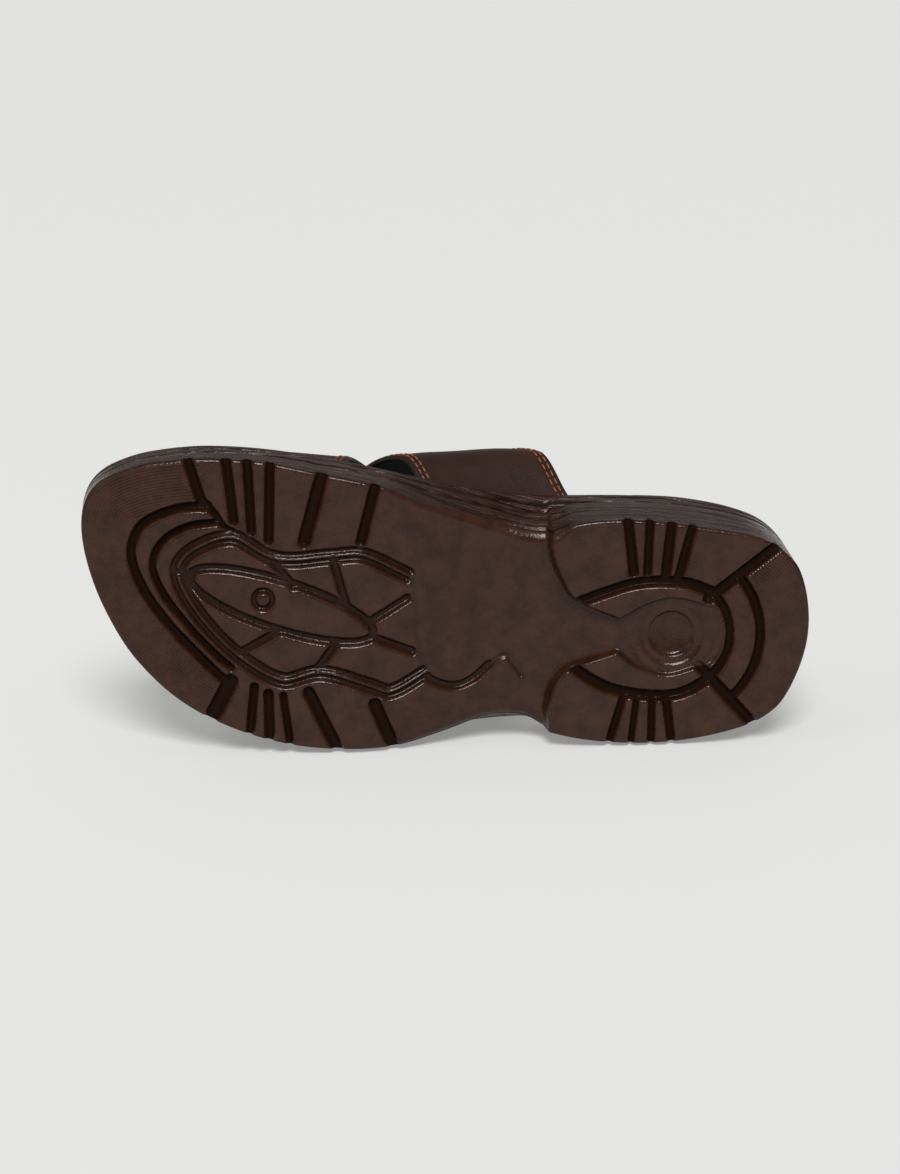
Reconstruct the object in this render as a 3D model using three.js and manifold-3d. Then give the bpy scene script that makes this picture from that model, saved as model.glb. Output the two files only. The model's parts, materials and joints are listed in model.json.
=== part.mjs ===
// A man's right house slipper: a moulded sole with a lugged tread, a padded insole in its tray and
// two crossed leather bands over the instep. It lies on its outer side, as it was put down.
// The shoe is drawn in its own sizes: x runs from the heel to the toe, y to the inner side of the
// foot and z up from the tread. A last turn lays it on its side. All lengths are in millimetres.
import * as THREE from "three";
import { mergeVertices } from "three/addons/utils/BufferGeometryUtils.js";
import Module from "manifold-3d";

// Sole
const SOLE_LENGTH = 285; // heel to toe over the rim
const BALL_WIDTH = 110; // across the rim at the ball of the foot
const TOE_INSET = 1; // the tread ends this much short of the rim at the toe
const HEEL_HEIGHT = 38; // tread to rim at the heel
const FOREFOOT_HEIGHT = 22; // tread to rim at the ball
const TOE_SPRING = 7; // how far the toe is lifted
const SHANK_LIFT = 9; // how far the waist stays clear of the tread plane
const RIM_WALL = 3.6; // thickness of the tray's wall
const RIM_ROUND = 0.9; // rounding of the rim's top edge
const TRAY_DEPTH = 5; // rim down to the tray's floor
const TREAD_ROUND = 1.6; // rounding between tread and side
const SIDE_GROOVE_DROPS = [4.6, 10.2]; // rim down to the middle of each groove round the side
const SIDE_GROOVE_WIDTH = 1.8;
const SIDE_GROOVE_DEPTH = 1.1;
const LUG_GROOVE_DEPTH = 2.6; // grooves between lugs
const MEDALLION_GROOVE = 2.3; // width of each groove of the medallion's double border
const MEDALLION_RIDGE = 1.2; // ridge between them
const MEDALLION_DEPTH = 2.2;
const LEAF_LENGTH = 74; // blade in the medallion
const LEAF_WIDTH = 19;
const VEIN_WIDTH = 3; // grooves round and beside the leaf
const STUD_RADIUS = 2.8; // round stud on the leaf
const STUD_GROOVE = 1.6; // groove round the stud
const WAVE_WIDTH = 2.4; // wavy groove along the waist
const WAVE_DEPTH = 1.3;
const HEEL_MIDDLE_DEPTH = 1.5; // floor between the heel's inner panels
const HEEL_DISC_RADIUS = 8.8;
const HEEL_DISC_DEPTH = 4.2;
const HEEL_RINGS = { near: 22.6, far: 34.5 }; // radii of the grooves behind the disc

// Insole
const INSOLE_PROUD = 1.2; // the insole's edge above the rim
const INSOLE_DISH = 2.4; // how far its middle sinks
const INSOLE_ROUND = 1.2;

// Upper
const BAND_WALL = 2.4; // folded leather and lining
const INSTEP_HEIGHT = 68; // inside height over the tray's floor at the instep
const INNER_BULGE = 17; // how far the bands swell out on the inner side of the foot
const OUTER_BULGE = 3.3; // and on the outer side, which rests on the floor
const FIT = 0.3; // clearance between pieces

const FINISHES = {
  sole: { color: 0x43302a, roughness: 0.45 },
  insole: { color: 0x1d1a1a, roughness: 0.7 },
  upper: { color: 0x4a2f27, roughness: 0.5 },
};

// Sections of the sole. at is a share of the sole's length; rimOut, rimIn, treadOut and treadIn are
// the distances of rim and tread from the axis on the outer and inner side, as shares of the ball
// width; stack is the share of the heel's extra height; spring and lift are shares of the toe spring
// and of the shank's lift.
const SECTIONS = rowsOf(["at", "rimOut", "rimIn", "treadOut", "treadIn", "stack", "spring", "lift"], [
  [0.0, -0.07, 0.07, -0.07, 0.07, 1, 0, 0],
  [0.03, 0.205, 0.345, 0.2, 0.325, 1, 0, 0],
  [0.08, 0.298, 0.43, 0.29, 0.4, 1, 0, 0],
  [0.17, 0.363, 0.462, 0.362, 0.42, 0.99, 0, 0],
  [0.26, 0.386, 0.452, 0.386, 0.42, 0.93, 0, 0],
  [0.335, 0.39, 0.435, 0.372, 0.385, 0.82, 0, 0],
  [0.37, 0.396, 0.428, 0.345, 0.345, 0.73, 0, 0.92],
  [0.42, 0.413, 0.426, 0.358, 0.352, 0.56, 0, 1],
  [0.48, 0.445, 0.437, 0.423, 0.376, 0.34, 0, 0.7],
  [0.54, 0.488, 0.458, 0.476, 0.4, 0.15, 0, 0.25],
  [0.6, 0.507, 0.478, 0.5, 0.445, 0.04, 0, 0],
  [0.68, 0.51, 0.498, 0.507, 0.468, 0, 0.02, 0],
  [0.76, 0.48, 0.506, 0.474, 0.488, 0, 0.1, 0],
  [0.84, 0.402, 0.494, 0.395, 0.478, 0, 0.3, 0],
  [0.91, 0.27, 0.455, 0.258, 0.442, -0.03, 0.58, 0],
  [0.96, 0.095, 0.4, 0.085, 0.388, -0.06, 0.8, 0],
  [1.0, -0.22, 0.22, -0.22, 0.22, -0.1, 1, 0],
]);

// Straight grooves between the lugs, from the edge inwards. edgeAt and innerAt are shares of the
// sole's length, edgeY and innerY shares of the ball width, width is a share of GROOVE_WIDTH.
const GROOVE_WIDTH = 3.4;
const LUG_GROOVES = [
  { edgeAt: 0.872, edgeY: 0.52, innerAt: 0.836, innerY: 0.31, width: 1 },
  { edgeAt: 0.816, edgeY: 0.53, innerAt: 0.793, innerY: 0.27, width: 0.95 },
  { edgeAt: 0.787, edgeY: 0.54, innerAt: 0.768, innerY: 0.24, width: 0.9 },
  { edgeAt: 0.755, edgeY: 0.54, innerAt: 0.744, innerY: 0.215, width: 0.95 },
  { edgeAt: 0.678, edgeY: 0.54, innerAt: 0.697, innerY: 0.225, width: 1.3 },
  { edgeAt: 0.606, edgeY: 0.52, innerAt: 0.621, innerY: 0.245, width: 1.05 },
  { edgeAt: 0.803, edgeY: -0.48, innerAt: 0.776, innerY: -0.3, width: 1.6 },
  { edgeAt: 0.742, edgeY: -0.53, innerAt: 0.743, innerY: -0.31, width: 0.85 },
  { edgeAt: 0.712, edgeY: -0.55, innerAt: 0.723, innerY: -0.33, width: 1 },
  { edgeAt: 0.682, edgeY: -0.55, innerAt: 0.703, innerY: -0.33, width: 0.7 },
  { edgeAt: 0.61, edgeY: -0.55, innerAt: 0.669, innerY: -0.31, width: 1.2 },
  { edgeAt: 0.535, edgeY: -0.53, innerAt: 0.578, innerY: -0.33, width: 1.3 },
  { edgeAt: 0.27, edgeY: 0.47, innerAt: 0.249, innerY: 0.235, width: 1 },
  { edgeAt: 0.237, edgeY: 0.47, innerAt: 0.23, innerY: 0.235, width: 0.85 },
  { edgeAt: 0.206, edgeY: 0.47, innerAt: 0.205, innerY: 0.235, width: 1 },
  { edgeAt: 0.174, edgeY: 0.47, innerAt: 0.187, innerY: 0.24, width: 0.9 },
  { edgeAt: 0.256, edgeY: -0.43, innerAt: 0.241, innerY: -0.205, width: 0.75 },
  { edgeAt: 0.223, edgeY: -0.43, innerAt: 0.223, innerY: -0.205, width: 0.6 },
  { edgeAt: 0.193, edgeY: -0.43, innerAt: 0.202, innerY: -0.205, width: 0.7 },
  { edgeAt: 0.162, edgeY: -0.42, innerAt: 0.183, innerY: -0.2, width: 0.85 },
  { edgeAt: 0.04, edgeY: 0.43, innerAt: 0.143, innerY: 0.168, width: 1.1 },
  { edgeAt: 0.035, edgeY: -0.32, innerAt: 0.143, innerY: -0.075, width: 1.1 },
];

// Curved grooves, as points of shares of the sole's length and of the ball width.
const TOE_ARCS = [
  { width: 3, route: [[0.83, 0.315], [0.872, 0.29], [0.915, 0.22], [0.926, 0.12], [0.906, 0.0],
    [0.866, -0.12], [0.812, -0.24], [0.778, -0.31]] },
  { width: 2.2, route: [[0.816, 0.262], [0.853, 0.235], [0.884, 0.175], [0.896, 0.09], [0.881, 0.0],
    [0.845, -0.105], [0.803, -0.2], [0.776, -0.25]] },
  { width: 2.2, route: [[0.838, 0.335], [0.819, 0.288], [0.806, 0.248], [0.794, 0.235]] },
];
const HEEL_ARCS = [
  { width: 3.8, route: [[0.316, 0.112], [0.281, 0.157], [0.246, 0.195], [0.211, 0.213], [0.175, 0.216],
    [0.154, 0.205], [0.133, 0.186]] },
  { width: 3.8, route: [[0.314, -0.128], [0.281, -0.172], [0.249, -0.194], [0.211, -0.2],
    [0.175, -0.19], [0.151, -0.163], [0.13, -0.122]] },
];
const WAVE = [[0.512, -0.222], [0.489, -0.245], [0.468, -0.247], [0.446, -0.216], [0.427, -0.164],
  [0.406, -0.124], [0.389, -0.162], [0.37, -0.208], [0.35, -0.212]];

// The medallion's outer edge, from its inner side round the toe to its outer side.
const MEDALLION_EDGE = [[0.548, 0.165], [0.615, 0.226], [0.66, 0.21], [0.73, 0.181], [0.793, 0.24],
  [0.848, 0.178], [0.871, 0.095], [0.862, 0.004], [0.82, -0.13], [0.765, -0.24], [0.705, -0.302],
  [0.655, -0.26], [0.59, -0.29], [0.557, -0.307], [0.507, -0.225]];

// The leaf lies along the medallion, and its veins run on as grooves to the border.
const LEAF_TIP = [0.845, 0.062];
const LEAF_TURN = 12; // degrees between the leaf and the sole's axis
const STUD_SHARE = 0.4; // place of the stud on the leaf, from its tip
const LEAF_VEINS = [
  [[0.842, 0.06], [0.862, 0.068]],
  [[0.705, 0.065], [0.735, 0.14]],
  [[0.632, 0.02], [0.655, 0.17]],
  [[0.718, -0.1], [0.765, -0.19]],
  [[0.637, -0.115], [0.66, -0.22]],
  [[0.59, -0.09], [0.535, -0.13]],
  [[0.6, -0.04], [0.55, 0.06]],
];

// The heel's middle, open to the waist: its floor meets the waist between two places.
const HEEL_CENTRE = [0.186, 0.026];
const HEEL_MIDDLE = [[0.36, 0.14], [0.316, 0.1], [0.26, 0.068], [0.222, 0.136], [0.189, 0.163],
  [0.146, 0.149], [0.122, 0.13], [0.111, 0.045], [0.122, -0.06], [0.148, -0.09], [0.188, -0.127],
  [0.231, -0.102], [0.258, -0.062], [0.316, -0.11], [0.36, -0.14]];
const HEEL_SLOPE = [0.2, 0.37];
const RING_TURNS = [134, 219]; // degrees round the disc, from the toe by the inner side

// Sections of the foot's room under the bands: height as a share of the instep height, and the
// swell on the inner side as a share of the inner bulge.
const ROOM = [
  { at: 0.28, height: 1.03, swell: 0.95 },
  { at: 0.42, height: 1, swell: 1 },
  { at: 0.52, height: 0.94, swell: 0.66 },
  { at: 0.62, height: 0.83, swell: 0.22 },
  { at: 0.72, height: 0.69, swell: 0.08 },
  { at: 0.84, height: 0.55, swell: 0.03 },
];
const SWELL_LEVEL = 0.42; // level of the widest place, share of the room's height
const SIDE_WAY = 0.15; // share of a band's way that rises from the tray to the widest place

// Edges of the two bands along their way from the outer to the inner side. way runs 0 to 1; front
// and rear are shares of the sole's length; rise is how far the band lies over the other, as a share
// of the band's wall.
const UPPER_BAND = [
  { way: 0, front: 0.81, rear: 0.625, rise: 0 },
  { way: 0.16, front: 0.79, rear: 0.604, rise: 0.1 },
  { way: 0.32, front: 0.75, rear: 0.56, rise: 0.85 },
  { way: 0.5, front: 0.684, rear: 0.484, rise: 0.85 },
  { way: 0.68, front: 0.632, rear: 0.41, rise: 0.85 },
  { way: 0.84, front: 0.575, rear: 0.363, rise: 0.1 },
  { way: 1, front: 0.528, rear: 0.32, rise: 0 },
];
const UNDER_BAND = [
  { way: 0, front: 0.52, rear: 0.36, rise: 0 },
  { way: 0.2, front: 0.55, rear: 0.385, rise: 0 },
  { way: 0.35, front: 0.6, rear: 0.43, rise: 0 },
  { way: 0.5, front: 0.664, rear: 0.49, rise: 0 },
  { way: 0.65, front: 0.73, rear: 0.565, rise: 0 },
  { way: 0.8, front: 0.782, rear: 0.632, rise: 0 },
  { way: 1, front: 0.815, rear: 0.66, rise: 0 },
];

// Fineness of the surfaces and of the curved grooves
const STATIONS = 48; // sections along the sole
const ACROSS = 6; // cells across its flat faces
const STRIPS = 16; // strips of the heel's middle
const STEPS = { border: 34, leaf: 20, stud: 16, disc: 24, ring: 12, arc: 12, wave: 18 };
const BAND_STEPS = 30;
const BAND_CELLS = 5;
const WAY_STEP = 0.004; // reach along and across a band that gives its slopes
const CROSS_STEP = 1;
const CUT_REACH = 6; // how far a cutter runs past the face it opens
const SLIVER = 0.2; // where a cutter's pointed end stops short
const SETTLING_PASSES = 14;
const ROUND_MIDDLE = 1 - Math.SQRT1_2; // share of a rounding's size at its middle
const UP = new THREE.Vector3(0, 0, 1);

const wasm = await Module();
wasm.setup();

function rowsOf(names, rows) {
  return rows.map((row) => Object.fromEntries(names.map((name, i) => [name, row[i]])));
}

// Smooth value of one column of a table at a place between its rows.
function column(table, key, name, place) {
  const last = table.length - 1;
  let i = 0;
  while (i < last - 1 && place > table[i + 1][key]) i++;
  const row = (n) => table[Math.min(last, Math.max(0, n))];
  const gap = row(i + 1)[key] - row(i)[key];
  const slope = (n) => {
    const before = row(n - 1);
    const after = row(n + 1);
    return (after[name] - before[name]) / (after[key] - before[key]);
  };
  const t = Math.min(1, Math.max(0, (place - row(i)[key]) / gap));
  const t2 = t * t;
  const t3 = t2 * t;
  return (
    row(i)[name] * (2 * t3 - 3 * t2 + 1) +
    slope(i) * gap * (t3 - 2 * t2 + t) +
    row(i + 1)[name] * (3 * t2 - 2 * t3) +
    slope(i + 1) * gap * (t3 - t2)
  );
}

// Half widths are joined as squares, so that an outline closes in a round end.
const SQUARED = SECTIONS.map((row) => {
  const squares = { at: row.at };
  for (const edge of ["rim", "tread"]) {
    const out = row[edge + "Out"];
    const inner = row[edge + "In"];
    squares[edge + "Middle"] = (inner - out) / 2;
    squares[edge + "Square"] = ((inner + out) / 2) ** 2;
  }
  return squares;
});

// Both sides of the rim or the tread at a share of the length.
function edgePair(edge, at) {
  const middle = column(SQUARED, "at", edge + "Middle", at);
  const half = Math.sqrt(Math.max(0, column(SQUARED, "at", edge + "Square", at)));
  return {
    x: at * (edge === "tread" ? SOLE_LENGTH - TOE_INSET : SOLE_LENGTH),
    out: (middle - half) * BALL_WIDTH,
    inner: (middle + half) * BALL_WIDTH,
  };
}

const shareOf = (x) => Math.min(1, Math.max(0, x / SOLE_LENGTH));
const sectionAt = (name, x) => column(SECTIONS, "at", name, shareOf(x));
const springAt = (x) => TOE_SPRING * sectionAt("spring", x);
const bottomAt = (x) => springAt(x) + SHANK_LIFT * sectionAt("lift", x);
const rimAt = (x) =>
  FOREFOOT_HEIGHT + springAt(x) + (HEEL_HEIGHT - FOREFOOT_HEIGHT) * sectionAt("stack", x);

// Shares of the length, close together at both round ends.
const STATION_SHARES = Array.from(
  { length: STATIONS + 1 },
  (_, i) => (1 - Math.cos((Math.PI * i) / STATIONS)) / 2,
);

// A closed outline: up the outer side from heel to toe and back down the inner side.
function outline(edge) {
  const outer = [];
  const inner = [];
  for (const at of STATION_SHARES) {
    const pair = edgePair(edge, at);
    outer.push(new THREE.Vector2(pair.x, pair.out));
    inner.push(new THREE.Vector2(pair.x, pair.inner));
  }
  return [...outer, ...inner.slice(1, -1).reverse()];
}

// Each point of a line moved square to it by a distance, to its left.
function insetLine(points, distance, closed = false) {
  const last = points.length - 1;
  return points.map((p, i) => {
    const before = points[closed ? (i + last) % (last + 1) : Math.max(0, i - 1)];
    const after = points[closed ? (i + 1) % (last + 1) : Math.min(last, i + 1)];
    const along = after.clone().sub(before).normalize();
    return new THREE.Vector2(p.x - along.y * distance, p.y + along.x * distance);
  });
}

const insetOutline = (points, distance) => insetLine(points, distance, true);

// A closed solid from a list of rings that share one number of points. The first and last ring are
// closed by strips across, joining the outer to the inner side, sunk by a dish in their middle.
function ringSolid(rings, dishes) {
  const size = rings[0].length;
  const positions = [];
  const triangles = [];
  const add = (x, y, z) => positions.push(x, y, z) / 3 - 1;
  const grid = rings.map((ring) => ring.map((p) => add(p.x, p.y, p.z)));
  for (let r = 0; r + 1 < rings.length; r++)
    for (let i = 0; i < size; i++) {
      const j = (i + 1) % size;
      triangles.push([grid[r][i], grid[r][j], grid[r + 1][j]]);
      triangles.push([grid[r][i], grid[r + 1][j], grid[r + 1][i]]);
    }
  const half = size / 2;
  [0, rings.length - 1].forEach((r, side) => {
    const ring = rings[r];
    const flip = side === 0;
    const rows = [];
    for (let k = 0; k <= half; k++) {
      const a = ring[k];
      const b = ring[(size - k) % size];
      const tip = k === 0 || k === half;
      const row = [grid[r][k]];
      for (let c = 1; c < ACROSS && !tip; c++) {
        const t = c / ACROSS;
        const dish = dishes[side] * 4 * t * (1 - t) * ((b.y - a.y) / BALL_WIDTH);
        add(a.x + (b.x - a.x) * t, a.y + (b.y - a.y) * t, a.z + (b.z - a.z) * t - dish);
        row.push(positions.length / 3 - 1);
      }
      row.push(grid[r][(size - k) % size]);
      rows.push(row);
    }
    const face = (a, b, c) => {
      if (a !== b && b !== c && a !== c) triangles.push(flip ? [a, c, b] : [a, b, c]);
    };
    for (let k = 0; k < half; k++) {
      const low = rows[k];
      const high = rows[k + 1];
      for (let c = 0; c < ACROSS; c++) {
        const pick = (row, n) => (row.length === 2 ? row[0] : row[n]);
        face(pick(low, c), pick(high, c), pick(high, c + 1));
        face(pick(low, c), pick(high, c + 1), pick(low, c + 1));
      }
    }
  });
  return solidOf(positions, triangles);
}

function solidOf(positions, triangles) {
  const geometry = new THREE.BufferGeometry();
  geometry.setAttribute("position", new THREE.BufferAttribute(new Float32Array(positions), 3));
  geometry.setIndex(triangles.flat());
  const merged = mergeVertices(geometry, 1e-4);
  const made = new wasm.Manifold(
    new wasm.Mesh({
      numProp: 3,
      vertProperties: merged.attributes.position.array,
      triVerts: new Uint32Array(merged.index.array),
    }),
  );
  return made;
}

// A level prism under the tread: the shape in plan, up to a depth over the tread at its middle.
function plug(shape, depth) {
  const level = springAt(shape[0].x);
  const slices = [level - CUT_REACH, level + depth];
  const loops = slices.map((z) => shape.map((p) => new THREE.Vector3(p.x, p.y, z)));
  const positions = loops.flat().flatMap((p) => [p.x, p.y, p.z]);
  const n = shape.length;
  const triangles = THREE.ShapeUtils.triangulateShape(shape, []).flatMap(([a, b, c]) => [
    [a, c, b],
    [a + n, b + n, c + n],
  ]);
  for (let i = 0; i < n; i++) {
    const j = (i + 1) % n;
    triangles.push([i, j, j + n], [i, j + n, i + n]);
  }
  return solidOf(positions, triangles);
}

// A channel cut into the tread along a line: its floor keeps one depth over the tread, and an open
// end is round.
function channel(points, width, depth, closed = false) {
  const last = points.length - 1;
  const steps = points.map((p, i) => {
    const before = points[closed ? (i + last) % (last + 1) : Math.max(0, i - 1)];
    const after = points[closed ? (i + 1) % (last + 1) : Math.min(last, i + 1)];
    return { p, along: after.clone().sub(before).normalize(), half: width / 2 };
  });
  if (!closed)
    for (const turn of [Math.PI / 6, Math.PI / 3]) {
      const { p, along, half } = steps[last];
      const on = p.clone().addScaledVector(along, half * Math.sin(turn));
      steps.push({ p: on, along, half: half * Math.cos(turn) });
    }
  const loops = steps.map(({ p, along, half }) => {
    const right = new THREE.Vector2(along.y, -along.x).multiplyScalar(half);
    const [near, far] = [p.clone().add(right), p.clone().sub(right)];
    const corners = [[near, -CUT_REACH], [far, -CUT_REACH], [far, depth], [near, depth]];
    return corners.map(([q, rise]) => new THREE.Vector3(q.x, q.y, bottomAt(q.x) + rise));
  });
  return tubeSolid(loops, closed);
}

const place = ([at, across]) => new THREE.Vector2(at * SOLE_LENGTH, across * BALL_WIDTH);

const curved = (route, count) => new THREE.SplineCurve(route.map(place)).getSpacedPoints(count);

function circleShape(centre, radius, sides) {
  return Array.from({ length: sides }, (_, i) => {
    const turn = (i / sides) * 2 * Math.PI;
    return new THREE.Vector2(centre.x + radius * Math.cos(turn), centre.y + radius * Math.sin(turn));
  });
}

function arcPoints(centre, radius, from, to, count) {
  return Array.from({ length: count + 1 }, (_, i) => {
    const turn = THREE.MathUtils.degToRad(from + ((to - from) * i) / count);
    return new THREE.Vector2(centre.x + radius * Math.cos(turn), centre.y + radius * Math.sin(turn));
  });
}

// Sole

// Rows down the side: how far below the rim, and how far in from the line between rim and tread.
function sideRows() {
  const rows = [
    { drop: 0, inset: RIM_ROUND },
    { drop: RIM_ROUND, inset: 0 },
  ];
  for (const drop of SIDE_GROOVE_DROPS) {
    rows.push({ drop: drop - SIDE_GROOVE_WIDTH / 2, inset: 0 });
    rows.push({ drop, inset: SIDE_GROOVE_DEPTH });
    rows.push({ drop: drop + SIDE_GROOVE_WIDTH / 2, inset: 0 });
  }
  return rows;
}

function soleBody() {
  const rim = outline("rim");
  const tread = outline("tread");
  const rings = [];
  const ring = (insetBy, along, height) => {
    const blended = rim.map((p, i) => p.clone().lerp(tread[i], along(p.x)));
    rings.push(insetOutline(blended, insetBy).map((p) => new THREE.Vector3(p.x, p.y, height(p.x))));
  };
  const all = (share) => () => share;
  ring(TREAD_ROUND, all(1), bottomAt);
  const middle = TREAD_ROUND * ROUND_MIDDLE;
  ring(middle, all(1), (x) => bottomAt(x) + middle);
  ring(0, all(1), (x) => bottomAt(x) + TREAD_ROUND);
  const wall = (x) => rimAt(x) - bottomAt(x) - TREAD_ROUND;
  for (const row of sideRows().reverse())
    ring(row.inset, (x) => row.drop / wall(x), (x) => rimAt(x) - row.drop);
  ring(RIM_WALL - RIM_ROUND, all(0), rimAt);
  ring(RIM_WALL, all(0), (x) => rimAt(x) - RIM_ROUND);
  ring(RIM_WALL, all(0), (x) => rimAt(x) - TRAY_DEPTH);
  return ringSolid(rings, [0, 0]);
}

// A shape that has one stretch across at each place along the sole, cut in strips whose floor
// follows a line of heights.
function stripCut(shape, heightAt) {
  const ends = [Math.min(...shape.map((p) => p.x)), Math.max(...shape.map((p) => p.x))];
  const loops = [];
  for (let i = 0; i <= STRIPS; i++) {
    const x = THREE.MathUtils.lerp(ends[0] + SLIVER, ends[1] - SLIVER, i / STRIPS);
    const crossings = shape.flatMap((p, n) => {
      const q = shape[(n + 1) % shape.length];
      return (p.x <= x) === (q.x <= x) ? [] : [p.y + ((q.y - p.y) * (x - p.x)) / (q.x - p.x)];
    });
    const high = Math.max(...crossings);
    const low = Math.min(...crossings);
    const [under, floor] = [-CUT_REACH, heightAt(x)];
    const corners = [[low, under], [high, under], [high, floor], [low, floor]];
    loops.push(corners.map(([y, z]) => new THREE.Vector3(x, y, z)));
  }
  return tubeSolid(loops);
}

// The medallion: a double border, and a leaf with a stud whose veins part the panels beside it.
function medallionCuts() {
  const pitch = MEDALLION_GROOVE + MEDALLION_RIDGE;
  const edge = curved(MEDALLION_EDGE, STEPS.border);
  const borders = [0, pitch].map((inset) => {
    const line = insetLine(edge, -inset - MEDALLION_GROOVE / 2);
    return channel(line, MEDALLION_GROOVE, MEDALLION_DEPTH);
  });
  const tip = place(LEAF_TIP);
  const turn = THREE.MathUtils.degToRad(LEAF_TURN);
  const onLeaf = (share, offset) =>
    new THREE.Vector2(-share * LEAF_LENGTH, offset).rotateAround(new THREE.Vector2(), turn).add(tip);
  const blade = circleShape(new THREE.Vector2(), 1, STEPS.leaf).map(({ x, y }) =>
    onLeaf((1 - x) / 2, (y * LEAF_WIDTH) / 2),
  );
  const stud = circleShape(onLeaf(STUD_SHARE, 0), STUD_RADIUS + STUD_GROOVE / 2, STEPS.stud);
  return [
    ...borders,
    channel(blade, VEIN_WIDTH, MEDALLION_DEPTH, true),
    channel(stud, STUD_GROOVE, MEDALLION_DEPTH, true),
    ...LEAF_VEINS.map((vein) => channel(vein.map(place), VEIN_WIDTH, MEDALLION_DEPTH)),
  ];
}

// The heel's middle with its disc, the arcs beside it and the two rings behind it.
function heelCuts() {
  const centre = place(HEEL_CENTRE);
  const [low, high] = HEEL_SLOPE.map((at) => at * SOLE_LENGTH);
  const floorAt = (x) =>
    THREE.MathUtils.lerp(HEEL_MIDDLE_DEPTH, SHANK_LIFT, THREE.MathUtils.smoothstep(x, low, high));
  const rings = Object.values(HEEL_RINGS).map((radius) =>
    channel(arcPoints(centre, radius, ...RING_TURNS, STEPS.ring), GROOVE_WIDTH, LUG_GROOVE_DEPTH),
  );
  const disc = plug(circleShape(centre, HEEL_DISC_RADIUS, STEPS.disc), HEEL_DISC_DEPTH);
  return [stripCut(HEEL_MIDDLE.map(place), floorAt), disc, ...rings];
}

function soleSolid() {
  const cuts = [...medallionCuts(), ...heelCuts()];
  cuts.push(channel(curved(WAVE, STEPS.wave), WAVE_WIDTH, WAVE_DEPTH));
  for (const { edgeAt, edgeY, innerAt, innerY, width } of LUG_GROOVES) {
    const line = [place([edgeAt, edgeY]), place([innerAt, innerY])];
    cuts.push(channel(line, width * GROOVE_WIDTH, LUG_GROOVE_DEPTH));
  }
  for (const { width, route } of [...TOE_ARCS, ...HEEL_ARCS])
    cuts.push(channel(curved(route, STEPS.arc), width, LUG_GROOVE_DEPTH));
  return cuts.reduce((body, cut) => body.subtract(cut), soleBody());
}

// Upper

// The line that the inside of the bands follows where they leave the tray.
const ROOM_LINE = insetOutline(outline("rim"), RIM_WALL + FIT + BAND_WALL);

function acrossAt(side, x) {
  const half = ROOM_LINE.length / 2;
  const point = (n) => ROOM_LINE[(side * n + ROOM_LINE.length) % ROOM_LINE.length];
  let n = 1;
  while (n < half - 1 && point(n + 1).x < x) n++;
  const [a, b] = [point(n), point(n + 1)];
  return a.y + ((b.y - a.y) * (x - a.x)) / (b.x - a.x);
}

// Room for the foot at a place along the sole: base widths, swell and height.
function roomAt(x) {
  const at = shareOf(x);
  const floor = rimAt(x) - TRAY_DEPTH + FIT;
  return {
    floor,
    height: INSTEP_HEIGHT * column(ROOM, "at", "height", at),
    out: -acrossAt(1, x),
    inner: acrossAt(-1, x),
    swellOut: OUTER_BULGE,
    swellIn: INNER_BULGE * column(ROOM, "at", "swell", at),
  };
}

// A point on the inside of the bands. way runs from the outer foot (0) over the instep to the
// inner foot (1): straight up out of the tray, swelling to the widest place, then over an arch.
function roomPoint(x, way) {
  const room = roomAt(x);
  const level = room.height * SWELL_LEVEL;
  const inward = way > 0.5;
  const fromFoot = inward ? 1 - way : way;
  const base = inward ? room.inner : room.out;
  const swell = inward ? room.swellIn : room.swellOut;
  let y;
  let z;
  if (fromFoot < SIDE_WAY) {
    z = (level * fromFoot) / SIDE_WAY;
    y = base + swell * THREE.MathUtils.smoothstep(z, TRAY_DEPTH, level);
  } else {
    const turn = ((Math.PI / 2) * (fromFoot - SIDE_WAY)) / (0.5 - SIDE_WAY);
    y = (base + swell) * Math.cos(turn);
    z = level + (room.height - level) * Math.sin(turn);
  }
  return new THREE.Vector3(x, inward ? y : -y, room.floor + z);
}

// The band's surface at an offset from the room, square to it.
function bandPoint(x, way, offset) {
  const [before, after] = [Math.max(0, way - WAY_STEP), Math.min(1, way + WAY_STEP)];
  const along = roomPoint(x, after).sub(roomPoint(x, before));
  const forward = roomPoint(x + CROSS_STEP, way).sub(roomPoint(x - CROSS_STEP, way));
  const outwards = new THREE.Vector3().crossVectors(forward, along).normalize();
  if (way === 0 || way === 1) outwards.setZ(0).normalize();
  return roomPoint(x, way).addScaledVector(outwards, offset);
}

// One band as a closed solid, grown by margins where it serves as a cutter.
function bandSolid(table, grow = 0, outwards = 0) {
  const loops = [];
  for (let i = 0; i <= BAND_STEPS; i++) {
    const way = i / BAND_STEPS;
    const front = column(table, "way", "front", way) * SOLE_LENGTH + grow;
    const rear = column(table, "way", "rear", way) * SOLE_LENGTH - grow;
    const rise = column(table, "way", "rise", way) * BAND_WALL;
    const across = Array.from({ length: BAND_CELLS + 1 }, (_, n) =>
      THREE.MathUtils.lerp(rear, front, n / BAND_CELLS),
    );
    const sink = new THREE.Vector3(0, 0, i === 0 || i === BAND_STEPS ? -grow * 2 : 0);
    loops.push([
      ...across.map((x) => bandPoint(x, way, rise + BAND_WALL + outwards).add(sink)),
      ...across.reverse().map((x) => bandPoint(x, way, rise - grow).add(sink)),
    ]);
  }
  return tubeSolid(loops);
}

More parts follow.
